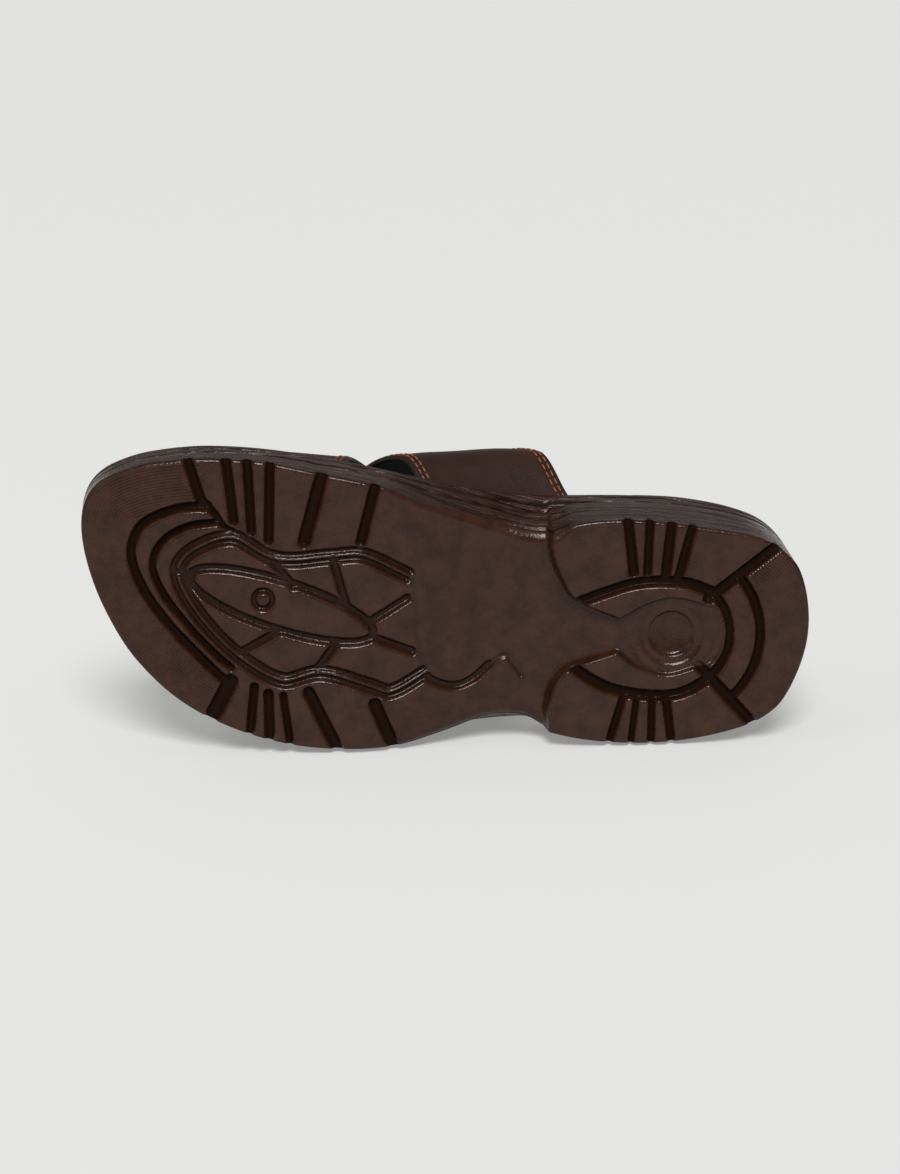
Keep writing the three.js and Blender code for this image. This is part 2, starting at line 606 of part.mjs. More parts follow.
// A closed solid from loops along a way: flat ends, or the last loop joined to the first.
function tubeSolid(loops, closed = false) {
  const size = loops[0].length;
  const positions = loops.flat().flatMap((p) => [p.x, p.y, p.z]);
  const triangles = [];
  const at = (i, n) => (i % loops.length) * size + ((n + size) % size);
  for (let i = 0; i + (closed ? 0 : 1) < loops.length; i++)
    for (let n = 0; n < size; n++) {
      triangles.push([at(i, n), at(i, n + 1), at(i + 1, n + 1)]);
      triangles.push([at(i, n), at(i + 1, n + 1), at(i + 1, n)]);
    }
  const last = loops.length - 1;
  for (let n = 0; n + 1 < size / 2 && !closed; n++) {
    const m = size - 1 - n;
    triangles.push([at(0, n), at(0, m), at(0, n + 1)]);
    triangles.push([at(0, n + 1), at(0, m), at(0, m - 1)]);
    triangles.push([at(last, n), at(last, n + 1), at(last, m)]);
    triangles.push([at(last, n + 1), at(last, m - 1), at(last, m)]);
  }
  return solidOf(positions, triangles);
}

const bands = [UNDER_BAND, UPPER_BAND];
const upper = bands.map((table) => bandSolid(table)).reduce((all, band) => all.add(band));

// Insole

function insoleSolid() {
  const rim = outline("rim");
  const rings = [];
  const ring = (insetBy, height) =>
    rings.push(insetOutline(rim, insetBy).map((p) => new THREE.Vector3(p.x, p.y, height(p.x))));
  const gap = RIM_WALL + FIT;
  ring(gap, (x) => rimAt(x) - TRAY_DEPTH + FIT);
  ring(gap, (x) => rimAt(x) + INSOLE_PROUD - INSOLE_ROUND);
  ring(gap + INSOLE_ROUND, (x) => rimAt(x) + INSOLE_PROUD);
  return ringSolid(rings, [0, INSOLE_DISH]);
}

const insole = bands.reduce(
  (body, table) => body.subtract(bandSolid(table, FIT, RIM_WALL)),
  insoleSolid(),
);
const sole = soleSolid();

// Laying the slipper on its outer side

function pointsOf(solid, keep = () => true) {
  const mesh = solid.getMesh();
  const points = [];
  for (let i = 0; i < mesh.vertProperties.length; i += mesh.numProp) {
    const point = new THREE.Vector3().fromArray(mesh.vertProperties, i);
    if (keep(point)) points.push(point);
  }
  return points;
}

// The turn that brings heel edge, ball edge and band onto one floor, the outer side down.
function restingTurn() {
  const middle = SOLE_LENGTH / 2;
  const groups = [
    pointsOf(sole, (p) => p.x < middle),
    pointsOf(sole, (p) => p.x > middle),
    pointsOf(upper),
  ];
  const basis = new THREE.Matrix4().makeBasis(
    new THREE.Vector3(-1, 0, 0),
    new THREE.Vector3(0, 0, 1),
    new THREE.Vector3(0, 1, 0),
  );
  const turn = new THREE.Quaternion().setFromRotationMatrix(basis);
  const lowest = (points) =>
    points
      .map((p) => p.clone().applyQuaternion(turn))
      .reduce((low, p) => (p.z < low.z ? p : low));
  for (let pass = 0; pass < SETTLING_PASSES; pass++) {
    const [heel, ball, band] = groups.map(lowest);
    const normal = ball.sub(heel).cross(band.sub(heel)).normalize();
    if (normal.z < 0) normal.negate();
    turn.premultiply(new THREE.Quaternion().setFromUnitVectors(normal, UP));
  }
  return turn;
}

function namedMesh(name, solid) {
  const made = solid.getMesh();
  const geometry = new THREE.BufferGeometry();
  geometry.setAttribute("position", new THREE.BufferAttribute(made.vertProperties, made.numProp));
  geometry.setIndex(new THREE.BufferAttribute(made.triVerts, 1));
  geometry.computeVertexNormals();
  const material = new THREE.MeshStandardMaterial({ ...FINISHES[name], metalness: 0 });
  const mesh = new THREE.Mesh(geometry, material);
  mesh.name = name;
  return mesh;
}

const shoe = new THREE.Group();
shoe.add(namedMesh("sole", sole));
shoe.add(namedMesh("insole", insole));
shoe.add(namedMesh("upper", upper));
shoe.quaternion.copy(restingTurn());
shoe.updateMatrixWorld(true);
const box = new THREE.Box3().setFromObject(shoe, true);
const centre = box.getCenter(new THREE.Vector3());
shoe.position.set(-centre.x, -centre.y, -box.min.z);

const slipper = new THREE.Group();
slipper.add(shoe);

export default slipper;
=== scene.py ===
# A right house slipper lying on its outer side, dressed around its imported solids.
# The shoe's own axes are x from the heel to the toe, y to the inner side of the foot and z up from
# the tread. Sizes are in metres, and tables hold shares of the named sizes.
import json
import math

import bpy
import numpy as np
from mathutils import Matrix


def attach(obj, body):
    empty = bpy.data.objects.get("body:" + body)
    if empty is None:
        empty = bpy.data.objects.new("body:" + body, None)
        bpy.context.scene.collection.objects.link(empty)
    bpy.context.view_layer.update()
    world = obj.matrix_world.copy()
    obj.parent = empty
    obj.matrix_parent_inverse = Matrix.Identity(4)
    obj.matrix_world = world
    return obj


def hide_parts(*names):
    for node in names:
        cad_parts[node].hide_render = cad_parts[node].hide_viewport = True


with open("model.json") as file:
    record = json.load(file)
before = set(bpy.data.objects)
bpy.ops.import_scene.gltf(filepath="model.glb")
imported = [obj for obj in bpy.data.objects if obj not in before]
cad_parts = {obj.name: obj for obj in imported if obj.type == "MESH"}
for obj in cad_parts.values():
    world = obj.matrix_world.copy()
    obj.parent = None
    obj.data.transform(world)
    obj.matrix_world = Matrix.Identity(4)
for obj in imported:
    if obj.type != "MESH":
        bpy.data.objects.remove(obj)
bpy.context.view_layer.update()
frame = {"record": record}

MM = 0.001

# Sole
SOLE_LENGTH = 285 * MM
BALL_WIDTH = 110 * MM
TOE_INSET = 1 * MM
HEEL_HEIGHT = 38 * MM
FOREFOOT_HEIGHT = 22 * MM
TOE_SPRING = 7 * MM
SHANK_LIFT = 9 * MM
RIM_WALL = 3.6 * MM
RIM_ROUND = 0.9 * MM
TRAY_DEPTH = 5 * MM
TREAD_ROUND = 1.3 * MM  # rounding between tread and side
WAIST_ROUND = 4 * MM  # added to it at the waist
SIDE_GROOVE_DROPS = (4.6 * MM, 10.2 * MM)
SIDE_GROOVE_WIDTH = 2.2 * MM
SIDE_GROOVE_DEPTH = 1.4 * MM
LUG_GROOVE_DEPTH = 2.8 * MM
GROOVE_WALL = 1.5 * MM  # breadth of a groove's sloping wall, seen from below
MEDALLION_GROOVE = 2.3 * MM
MEDALLION_RIDGE = 1.2 * MM
MEDALLION_DEPTH = 2.0 * MM
LEAF_LENGTH = 74 * MM
LEAF_WIDTH = 19 * MM
VEIN_WIDTH = 3 * MM
STUD_RADIUS = 2.8 * MM
STUD_GROOVE = 1.6 * MM
STUD_DOME = 0.5 * MM
WAVE_GROOVE = (3.0 * MM, 1.8 * MM)  # width and depth
WAVE_TAIL_GROOVE = (1.9 * MM, 0.9 * MM)
PANEL_END_GROOVE = (1.9 * MM, 0.7 * MM)
HEEL_MIDDLE_DEPTH = 1.5 * MM
FRONT_WALL = 0.9 * MM  # breadth of the heel's front wall, and what is added for each unit of height
FRONT_LEAN = 0.1
HEEL_DISC_RADIUS = 8.8 * MM
HEEL_DISC_DEPTH = 2.6 * MM  # below the heel's sunk middle
HEEL_DISC_STEP = 1.2 * MM
HEEL_END = 0.38  # the heel block's front end, as a share of the length
MIDDLE_END = 0.42  # where the height of its sunk middle gives way to the waist's
RING_GROOVE = 3.1 * MM
HEEL_RINGS = (22.6 * MM, 34.5 * MM)
HEEL_STEPS = ((12.2 * MM, 0.7 * MM), (16.4 * MM, 0.4 * MM))  # radius and height of each low step
RIDGE_PITCH = 1.15 * MM  # fine ridges on the crescents at toe and heel
RIDGE_MARGIN = 0.8 * MM  # plain strip along the tread's edge
RIDGE_CUT_LIMIT = 0.2 * MM  # no ridges where the tread is cut deeper
LUG_RIDGES = 0.3  # height of the ridges on two of the lugs, as a share

# Insole and upper
INSOLE_PROUD = 1.2 * MM
INSOLE_DISH = 2.4 * MM
INSOLE_ROUND = 1.2 * MM
HEEL_LIP = (0.24, 0.31)  # the insole laps over the rim up to here at the heel,
TOE_LIP = (0.82, 0.88)  # and from here on at the toe
LIP_HEIGHT = 2.2 * MM
LIP_INSET = 0.5 * MM
BAND_WALL = 2.2 * MM
CAD_BAND_WALL = 2.4 * MM
INSTEP_HEIGHT = 68 * MM
INNER_BULGE = 17 * MM
OUTER_BULGE = 3.3 * MM
SWELL_LEVEL = 0.42
SIDE_WAY = 0.15
FIT = 0.3 * MM
STITCH_ROWS = (2.4 * MM, 4.5 * MM)  # from the band's edge
STITCH_PITCH = 3.7 * MM
STITCH_LENGTH = 2.9 * MM
THREAD_RADIUS = 0.32 * MM
STITCHED = (0.035, 0.965)  # stitches run from foot to foot between these ways
THREAD_STAND = 0.3  # how far a stitch's middle stands off the leather, as a share of its radius
SEWN_STRIP = 6.2 * MM  # darker strip along a band's edge

# Sections of the sole, from the heel to the toe.
SECTION_NAMES = ("at", "rim_out", "rim_in", "tread_out", "tread_in", "stack", "spring", "lift")
SECTIONS = [
    (0.0, -0.07, 0.07, -0.07, 0.07, 1, 0, 0),
    (0.03, 0.205, 0.345, 0.2, 0.325, 1, 0, 0),
    (0.08, 0.298, 0.43, 0.29, 0.4, 1, 0, 0),
    (0.17, 0.363, 0.462, 0.362, 0.42, 0.99, 0, 0),
    (0.26, 0.386, 0.452, 0.386, 0.42, 0.93, 0, 0),
    (0.335, 0.39, 0.435, 0.372, 0.385, 0.82, 0, 0),
    (0.37, 0.396, 0.428, 0.345, 0.345, 0.73, 0, 0.92),
    (0.42, 0.413, 0.426, 0.358, 0.352, 0.56, 0, 1),
    (0.48, 0.445, 0.437, 0.423, 0.376, 0.34, 0, 0.7),
    (0.54, 0.488, 0.458, 0.476, 0.4, 0.15, 0, 0.25),
    (0.6, 0.507, 0.478, 0.5, 0.445, 0.04, 0, 0),
    (0.68, 0.51, 0.498, 0.507, 0.468, 0, 0.02, 0),
    (0.76, 0.48, 0.506, 0.474, 0.488, 0, 0.1, 0),
    (0.84, 0.402, 0.494, 0.395, 0.478, 0, 0.3, 0),
    (0.91, 0.27, 0.455, 0.258, 0.442, -0.03, 0.58, 0),
    (0.96, 0.095, 0.4, 0.085, 0.388, -0.06, 0.8, 0),
    (1.0, -0.22, 0.22, -0.22, 0.22, -0.1, 1, 0),
]

# Straight grooves between the lugs: edge at and y, inner end at and y, share of GROOVE_WIDTH.
GROOVE_WIDTH = 3.4 * MM
LUG_GROOVES = [
    (0.872, 0.52, 0.836, 0.31, 1), (0.816, 0.53, 0.793, 0.27, 0.95), (0.787, 0.54, 0.768, 0.24, 0.9),
    (0.755, 0.54, 0.744, 0.215, 0.95), (0.678, 0.54, 0.697, 0.225, 1.3), (0.606, 0.52, 0.621, 0.245, 1.05),
    (0.803, -0.48, 0.776, -0.3, 1.6), (0.742, -0.53, 0.743, -0.31, 0.85), (0.712, -0.55, 0.723, -0.33, 1),
    (0.682, -0.55, 0.703, -0.33, 0.7), (0.61, -0.55, 0.669, -0.31, 1.2), (0.535, -0.53, 0.578, -0.33, 1.3),
    (0.27, 0.47, 0.249, 0.235, 1), (0.237, 0.47, 0.23, 0.235, 0.85), (0.206, 0.47, 0.205, 0.235, 1),
    (0.174, 0.47, 0.187, 0.24, 0.9), (0.256, -0.43, 0.241, -0.205, 0.75),
    (0.223, -0.43, 0.223, -0.205, 0.6), (0.193, -0.43, 0.202, -0.205, 0.7),
    (0.162, -0.42, 0.183, -0.2, 0.85), (0.04, 0.43, 0.143, 0.168, 1.1), (0.035, -0.32, 0.143, -0.075, 1.1),
]

# Curved grooves: width, and points as shares of the sole's length and of the ball width.
TOE_ARCS = [
    (3.0 * MM, [(0.83, 0.315), (0.872, 0.29), (0.915, 0.22), (0.926, 0.12), (0.906, 0.0),
                (0.866, -0.12), (0.812, -0.24), (0.778, -0.31)]),
    (2.2 * MM, [(0.816, 0.262), (0.853, 0.235), (0.884, 0.175), (0.896, 0.09), (0.881, 0.0),
                (0.845, -0.105), (0.803, -0.2), (0.776, -0.25)]),
    (2.2 * MM, [(0.838, 0.335), (0.819, 0.288), (0.806, 0.248), (0.794, 0.235)]),
]
HEEL_ARCS = [
    (3.8 * MM, [(0.316, 0.112), (0.281, 0.157), (0.246, 0.195), (0.211, 0.213), (0.175, 0.216),
                (0.154, 0.205), (0.133, 0.186)]),
    (3.8 * MM, [(0.314, -0.128), (0.281, -0.172), (0.249, -0.194), (0.211, -0.2), (0.175, -0.19),
                (0.151, -0.163), (0.13, -0.122)]),
]
WAVE = [(0.512, -0.222), (0.489, -0.245), (0.468, -0.247), (0.446, -0.216), (0.427, -0.164)]
WAVE_TAIL = [(0.427, -0.164), (0.406, -0.124), (0.389, -0.162), (0.37, -0.208), (0.345, -0.212)]
PANEL_ENDS = [(0.548, 0.165), (0.535, 0.03), (0.531, -0.07), (0.507, -0.225)]
MEDALLION_EDGE = [
    (0.548, 0.165), (0.615, 0.226), (0.66, 0.21), (0.73, 0.181), (0.793, 0.24), (0.848, 0.178),
    (0.871, 0.095), (0.862, 0.004), (0.82, -0.13), (0.765, -0.24), (0.705, -0.302), (0.655, -0.26),
    (0.59, -0.29), (0.557, -0.307), (0.507, -0.225),
]
LEAF_TIP = (0.845, 0.062)
LEAF_TURN = math.radians(12)
STUD_SHARE = 0.4
LEAF_VEINS = [
    [(0.842, 0.06), (0.862, 0.068)], [(0.705, 0.065), (0.735, 0.14)], [(0.632, 0.02), (0.655, 0.17)],
    [(0.718, -0.1), (0.765, -0.19)], [(0.637, -0.115), (0.66, -0.22)], [(0.59, -0.09), (0.535, -0.13)],
    [(0.6, -0.04), (0.55, 0.06)],
]
HEEL_CENTRE = (0.186, 0.026)
HEEL_SLOPE = (0.2, 0.37)
RING_TURNS = (math.radians(134), math.radians(219))
# The heel's front edge, from the inner to the outer side round its sunk middle, in three curves
# that meet in the points of its two panels.
HEEL_FRONT = [
    [(0.366, 0.6), (0.363, 0.368), (0.362, 0.305), (0.3565, 0.252), (0.34, 0.174), (0.32, 0.117),
     (0.26, 0.068)],
    [(0.26, 0.068), (0.222, 0.136), (0.189, 0.163), (0.146, 0.149), (0.122, 0.13), (0.111, 0.045),
     (0.122, -0.06), (0.148, -0.09), (0.188, -0.127), (0.231, -0.102), (0.258, -0.062)],
    [(0.258, -0.062), (0.3175, -0.135), (0.331, -0.175), (0.339, -0.233), (0.342, -0.295),
     (0.3365, -0.35), (0.335, -0.6)],
]

# The foot's room under the bands and the bands' edges, as in the solid model but for the upper
# band. From its fourth row on its rear edge is moved by up to 6.3 mm to follow the photo, and it
# rises over the under band by its whole wall, where the solid's rises by 0.85 of it.
ROOM_NAMES = ("at", "height", "swell")
ROOM = [
    (0.28, 1.03, 0.95), (0.42, 1, 1), (0.52, 0.94, 0.66), (0.62, 0.83, 0.22), (0.72, 0.69, 0.08),
    (0.84, 0.55, 0.03),
]
BAND_NAMES = ("way", "front", "rear", "rise")
UPPER_BAND = [
    (0, 0.81, 0.625, 0), (0.16, 0.79, 0.604, 0.1), (0.32, 0.75, 0.56, 1), (0.5, 0.684, 0.493, 1),
    (0.68, 0.632, 0.432, 1), (0.84, 0.575, 0.376, 0.1), (1, 0.528, 0.305, 0),
]
UNDER_BAND = [
    (0, 0.52, 0.36, 0), (0.2, 0.55, 0.385, 0), (0.35, 0.6, 0.43, 0), (0.5, 0.664, 0.49, 0),
    (0.65, 0.73, 0.565, 0), (0.8, 0.782, 0.632, 0), (1, 0.815, 0.66, 0),
]

BEYOND_TOE = [(1.3, -0.6), (1.3, 0.6)]
# Corners outside the sole that close the ridged crescents, before and after their inner curve.
TOE_CRESCENT = ([(1.1, 0.6), (0.863, 0.6)], [(0.79, -0.6), (1.1, -0.6)])
HEEL_CRESCENT = ([(-0.1, 0.6), (0.03, 0.5)], [(0.025, -0.4), (-0.1, -0.6)])
# The two ridged lugs: the place in LUG_GROOVES of the groove that the ridges follow, and a loop.
RIDGED_LUGS = [
    (4, [(0.67, 0.6), (0.688, 0.26), (0.63, 0.27), (0.615, 0.6)]),
    (10, [(0.655, -0.335), (0.588, -0.345), (0.573, -0.42), (0.633, -0.42)]),
]

# Fineness of the meshes
STATIONS = 440
TREAD_CELLS = 158
INSOLE_STATIONS = 260
INSOLE_CELLS = 24
BAND_STEPS = 170
BAND_CELLS = 30
ROOM_STATIONS = 200
MEDALLION_POINTS = 90
LEAF_POINTS = 60
EDGE_TURNS = 7
GROOVE_TURNS = 7
TREAD_TURNS = np.radians((0, 25, 50, 72, 90))
SIDE_TURN = 1  # radians of the tread's rounding from which its skin counts as side
SIDE_SHARES = (0.2, 0.5, 0.8)  # rows between the tread and the side's lower groove
INSOLE_TURNS = np.radians((0, 22, 45, 68, 90))
STITCH_FINENESS = 2000
ROD_SIDES = 6
ROD_SHAPE = np.array([(-0.5, 0.35), (-0.32, 1), (0, 1.08), (0.32, 1), (0.5, 0.35)])  # along, radius

# Pose of the shoe, from the mount under its heel
MOUNT = frame["record"]["mounts"][0]
MOUNT_PLACE = (0.135, 0.33)
TOE_RAISED = math.radians(7.18)  # the toe end lies this much higher, in the plane of the tread


def unit(v):
    return np.asarray(v, float) / np.linalg.norm(v)


UP = -unit(MOUNT["axis"])
LEVEL = unit(np.cross(UP, (0, 0, 1)))
TOE = -math.cos(TOE_RAISED) * LEVEL + math.sin(TOE_RAISED) * np.cross(LEVEL, UP)
INNER = np.cross(UP, TOE)
ORIGIN = (
    np.array(MOUNT["pos_m"])
    - MOUNT_PLACE[0] * SOLE_LENGTH * TOE
    - MOUNT_PLACE[1] * BALL_WIDTH * INNER
)


def laid(points):
    """Points of the shoe's own axes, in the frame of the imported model."""
    return np.asarray(points, float) @ np.array([TOE, INNER, UP]) + ORIGIN


# Curves and sections


def column(names, table, name, at):
    """Smooth value of one column of a table at places between its rows."""
    keys = np.array([row[0] for row in table], float)
    values = np.array([row[names.index(name)] for row in table], float)
    return smooth_value(keys, values, at)


def smooth_value(keys, values, at):
    slopes = np.empty(len(keys))
    slopes[1:-1] = (values[2:] - values[:-2]) / (keys[2:] - keys[:-2])
    slopes[0] = (values[1] - values[0]) / (keys[1] - keys[0])
    slopes[-1] = (values[-1] - values[-2]) / (keys[-1] - keys[-2])
    i = np.clip(np.searchsorted(keys, at, "right") - 1, 0, len(keys) - 2)
    gap = keys[i + 1] - keys[i]
    t = np.clip((at - keys[i]) / gap, 0, 1)
    return (
        values[i] * (2 * t**3 - 3 * t**2 + 1)
        + slopes[i] * gap * (t**3 - 2 * t**2 + t)
        + values[i + 1] * (3 * t**2 - 2 * t**3)
        + slopes[i + 1] * gap * (t**3 - t**2)
    )


def smoothstep(value, low, high):
    t = np.clip((value - low) / (high - low), 0, 1)
    return t * t * (3 - 2 * t)


def section(name, x):
    return column(SECTION_NAMES, SECTIONS, name, np.clip(x / SOLE_LENGTH, 0, 1))


def spring_at(x):
    return TOE_SPRING * section("spring", x)


def rim_at(x):
    return FOREFOOT_HEIGHT + spring_at(x) + (HEEL_HEIGHT - FOREFOOT_HEIGHT) * section("stack", x)


def outline(edge, shares):
    """Closed outline of rim or tread: up the outer side from heel to toe, down the inner side."""
    rows = np.array(SECTIONS)
    out = rows[:, SECTION_NAMES.index(edge + "_out")]
    inner = rows[:, SECTION_NAMES.index(edge + "_in")]
    middle = smooth_value(rows[:, 0], (inner - out) / 2, shares)
    half = np.sqrt(np.maximum(0, smooth_value(rows[:, 0], ((inner + out) / 2) ** 2, shares)))
    x = shares * (SOLE_LENGTH - TOE_INSET if edge == "tread" else SOLE_LENGTH)
    outer_side = np.column_stack([x, (middle - half) * BALL_WIDTH])
    inner_side = np.column_stack([x, (middle + half) * BALL_WIDTH])
    return np.vstack([outer_side, inner_side[-2:0:-1]])


def station_shares(count, crowding=0.03):
    """Even shares of the length that crowd at both round ends."""
    even = (np.arange(count) + 0.5) / count
    steps = np.tanh(even / crowding) * np.tanh((1 - even) / crowding)
    return np.concatenate([[0], np.cumsum(steps) / steps.sum()])


def inset_line(points, distance, closed=False):
    """Each point of a line moved square to it, to its left."""
    before, after = np.roll(points, 1, 0), np.roll(points, -1, 0)
    if not closed:
        before[0], after[-1] = points[0], points[-1]
    along = after - before
    along /= np.linalg.norm(along, axis=1)[:, None]
    left = np.column_stack([-along[:, 1], along[:, 0]])
    return points + left * np.reshape(distance, (-1, 1))


def placed(route):
    return np.array(route, float) * (SOLE_LENGTH, BALL_WIDTH)


def curved(route, count=48):
    """A smooth line through the points of a route, in metres."""
    points = placed(route)
    chords = np.concatenate([[0], np.cumsum(np.linalg.norm(np.diff(points, axis=0), axis=1))])
    at = np.linspace(0, chords[-1], count)
    return np.column_stack([smooth_value(chords, points[:, i], at) for i in (0, 1)])


def arc(centre, radius, start, end, count=48):
    turn = np.linspace(start, end, count)
    return centre + radius * np.column_stack([np.cos(turn), np.sin(turn)])


def distance_to(line, x, y):
    """Distance of points from a line of straight stretches."""
    best = np.full(x.shape, np.inf)
    for (ax, ay), (bx, by) in zip(line[:-1], line[1:]):
        dx, dy = bx - ax, by - ay
        t = np.clip(((x - ax) * dx + (y - ay) * dy) / (dx * dx + dy * dy), 0, 1)
        best = np.minimum(best, np.hypot(x - ax - t * dx, y - ay - t * dy))
    return best


def inside(loop, x, y):
    """Whether points lie inside a closed loop."""
    hits = np.zeros(x.shape, int)
    for (ax, ay), (bx, by) in zip(loop, np.roll(loop, -1, 0)):
        if ay != by:
            spans = (ay > y) != (by > y)
            hits += spans & (x < ax + (y - ay) * (bx - ax) / (by - ay))
    return hits % 2 == 1


# Materials


def linear(hex_colour):
    """Linear colour of an sRGB hex value."""
    parts = [int(hex_colour[i : i + 2], 16) / 255 for i in (1, 3, 5)]
    return [p / 12.92 if p <= 0.04045 else ((p + 0.055) / 1.055) ** 2.4 for p in parts] + [1.0]


def fill(tree, node, inputs):
    """Sets a node's sockets to values, or links them to other nodes' outputs."""
    for name, value in inputs.items():
        if isinstance(value, bpy.types.NodeSocket):
            tree.links.new(value, node.inputs[name])
        else:
            node.inputs[name].default_value = value


def add(tree, kind, inputs=None, **settings):
    """Adds a node with its own settings and fills its sockets."""
    node = tree.nodes.new(kind)
    for name, value in settings.items():
        setattr(node, name, value)
    fill(tree, node, inputs or {})
    return node


def new_material(name):
    material = bpy.data.materials.new(name)
    material.use_nodes = True
    tree = material.node_tree
    return material, tree, tree.nodes["Principled BSDF"]


def tones(tree, pattern, dark, light):
    """A colour that goes from a dark to a light tone as a pattern's value rises."""
    share = add(tree, "ShaderNodeMapRange", {"Value": pattern, "From Min": 0.35, "From Max": 0.65})
    mix = add(tree, "ShaderNodeMix", {"Factor": share.outputs[0], "A": linear(dark), "B": linear(light)},
              data_type="RGBA")
    return mix.outputs["Result"]


def moulded_polyurethane():
    """Polyurethane foamed in a polished mould: a dense chocolate brown skin with a wet gloss on its
    rounded edges, faint clouds and pits, fine cut ridges and drawn streaks along its side."""
    material, tree, shader = new_material("moulded_polyurethane")
    place = add(tree, "ShaderNodeAttribute", attribute_name="place").outputs["Vector"]
    ridge = add(tree, "ShaderNodeAttribute", attribute_name="ridge").outputs["Fac"]
    ridged = add(tree, "ShaderNodeAttribute", attribute_name="ridged").outputs["Fac"]
    side = add(tree, "ShaderNodeAttribute", attribute_name="side").outputs["Fac"]
    hollow = add(tree, "ShaderNodeAttribute", attribute_name="hollow").outputs["Fac"]
    wave = add(tree, "ShaderNodeMath", {0: ridge, 1: 2 * math.pi / RIDGE_PITCH}, operation="MULTIPLY")
    wave = add(tree, "ShaderNodeMath", {0: wave.outputs[0]}, operation="SINE")
    wave = add(tree, "ShaderNodeMath", {0: wave.outputs[0], 1: ridged}, operation="MULTIPLY")
    clouds = add(tree, "ShaderNodeTexNoise",
                 {"Vector": place, "Scale": 110.0, "Detail": 8.0, "Roughness": 0.7}).outputs[0]
    pits = add(tree, "ShaderNodeTexNoise", {"Vector": place, "Scale": 900.0, "Detail": 4.0}).outputs[0]
    # The streaks' real breadth can't be read at this slant. The noise that draws them has cells
    # 3 mm high and 77 mm long, coarse enough to show.
    drawn = add(tree, "ShaderNodeMapping", {"Vector": place, "Scale": (13.0, 13.0, 330.0)}).outputs[0]
    streaks = add(tree, "ShaderNodeTexNoise",
                  {"Vector": drawn, "Scale": 1.0, "Detail": 5.0, "Distortion": 1.2}).outputs[0]
    on_side = add(tree, "ShaderNodeMath", {0: streaks, 1: side}, operation="MULTIPLY").outputs[0]
    dark_streak = add(tree, "ShaderNodeMapRange", {"Value": streaks, "From Min": 0.52, "From Max": 0.38,
                                                   "To Max": 0.85})
    dark_streak = add(tree, "ShaderNodeMath", {0: dark_streak.outputs[0], 1: side}, operation="MULTIPLY")
    painted_shading_and_streaks = add(tree, "ShaderNodeMath", {0: hollow, 1: dark_streak.outputs[0]}, operation="MAXIMUM")
    fine = add(tree, "ShaderNodeBump", {"Height": pits, "Strength": 0.6, "Distance": 0.25 * MM})
    cut = add(tree, "ShaderNodeBump", {"Height": wave.outputs[0], "Strength": 0.4, "Distance": 0.1 * MM,
                                       "Normal": fine.outputs[0]})
    grain = add(tree, "ShaderNodeBump", {"Height": on_side, "Strength": 1.0, "Distance": 2.6 * MM,
                                         "Normal": cut.outputs[0]})
    gloss = add(tree, "ShaderNodeMapRange", {"Value": clouds, "From Min": 0.3, "From Max": 0.7,
                                             "To Min": 0.12, "To Max": 0.26})
    # The photo shows near-black grooves. The skin is made darker and duller down in them, so that
    # they stay dark between their glossy edges.
    # Painted shading: down in the grooves of the tread and of the side, the skin's colour is mixed towards
    # near black and its mirror weakened, as if in shadow. The side's dark streaks are mixed in the same way,
    # and they are the sole's own tone.
    brown = tones(tree, clouds, "#240f08", "#371e13")
    skin = add(tree, "ShaderNodeMix", {"Factor": painted_shading_and_streaks.outputs[0], "A": brown, "B": linear("#180c07")},
               data_type="RGBA")
    mirror = add(tree, "ShaderNodeMapRange", {"Value": painted_shading_and_streaks.outputs[0], "From Min": 0.4, "From Max": 0.9,
                                              "To Min": 0.36, "To Max": 0.05})
    fill(tree, shader, {"Base Color": skin.outputs["Result"], "Roughness": gloss.outputs[0], "IOR": 1.43,
                        "Specular IOR Level": mirror.outputs[0], "Normal": grain.outputs[0]})
    return material


def full_grain_leather():
    """Pigmented full-grain cowhide: deep brown with a close pebbled grain and a soft sheen, darker
    and pressed down along its sewn edges."""
    material, tree, shader = new_material("full_grain_leather")
    place = add(tree, "ShaderNodeAttribute", attribute_name="place").outputs["Vector"]
    edge = add(tree, "ShaderNodeAttribute", attribute_name="from_edge").outputs["Fac"]
    pebbles = add(tree, "ShaderNodeTexVoronoi", {"Vector": place, "Scale": 1000.0},
                  feature="DISTANCE_TO_EDGE").outputs["Distance"]
    creases = add(tree, "ShaderNodeTexNoise", {"Vector": place, "Scale": 420.0, "Detail": 6.0}).outputs[0]
    clouds = add(tree, "ShaderNodeTexNoise", {"Vector": place, "Scale": 60.0, "Detail": 3.0}).outputs[0]
    sewn = add(tree, "ShaderNodeMapRange", {"Value": edge, "From Min": 0.0, "From Max": SEWN_STRIP},
               interpolation_type="SMOOTHSTEP").outputs[0]
    tone = add(tree, "ShaderNodeMix", {"Factor": sewn, "A": linear("#20110a"),
                                       "B": tones(tree, clouds, "#24110a", "#2f180f")}, data_type="RGBA")
    grain = add(tree, "ShaderNodeBump", {"Height": pebbles, "Strength": 0.5, "Distance": 0.3 * MM})
    folds = add(tree, "ShaderNodeBump", {"Height": creases, "Strength": 0.35, "Distance": 0.4 * MM,
                                         "Normal": grain.outputs[0]})
    pressed = add(tree, "ShaderNodeBump", {"Height": sewn, "Strength": 0.6, "Distance": 0.6 * MM,
                                           "Normal": folds.outputs[0]})
    fill(tree, shader, {"Base Color": tone.outputs["Result"], "Roughness": 0.45, "IOR": 1.45,
                        "Specular IOR Level": 0.35, "Normal": pressed.outputs[0]})
    return material


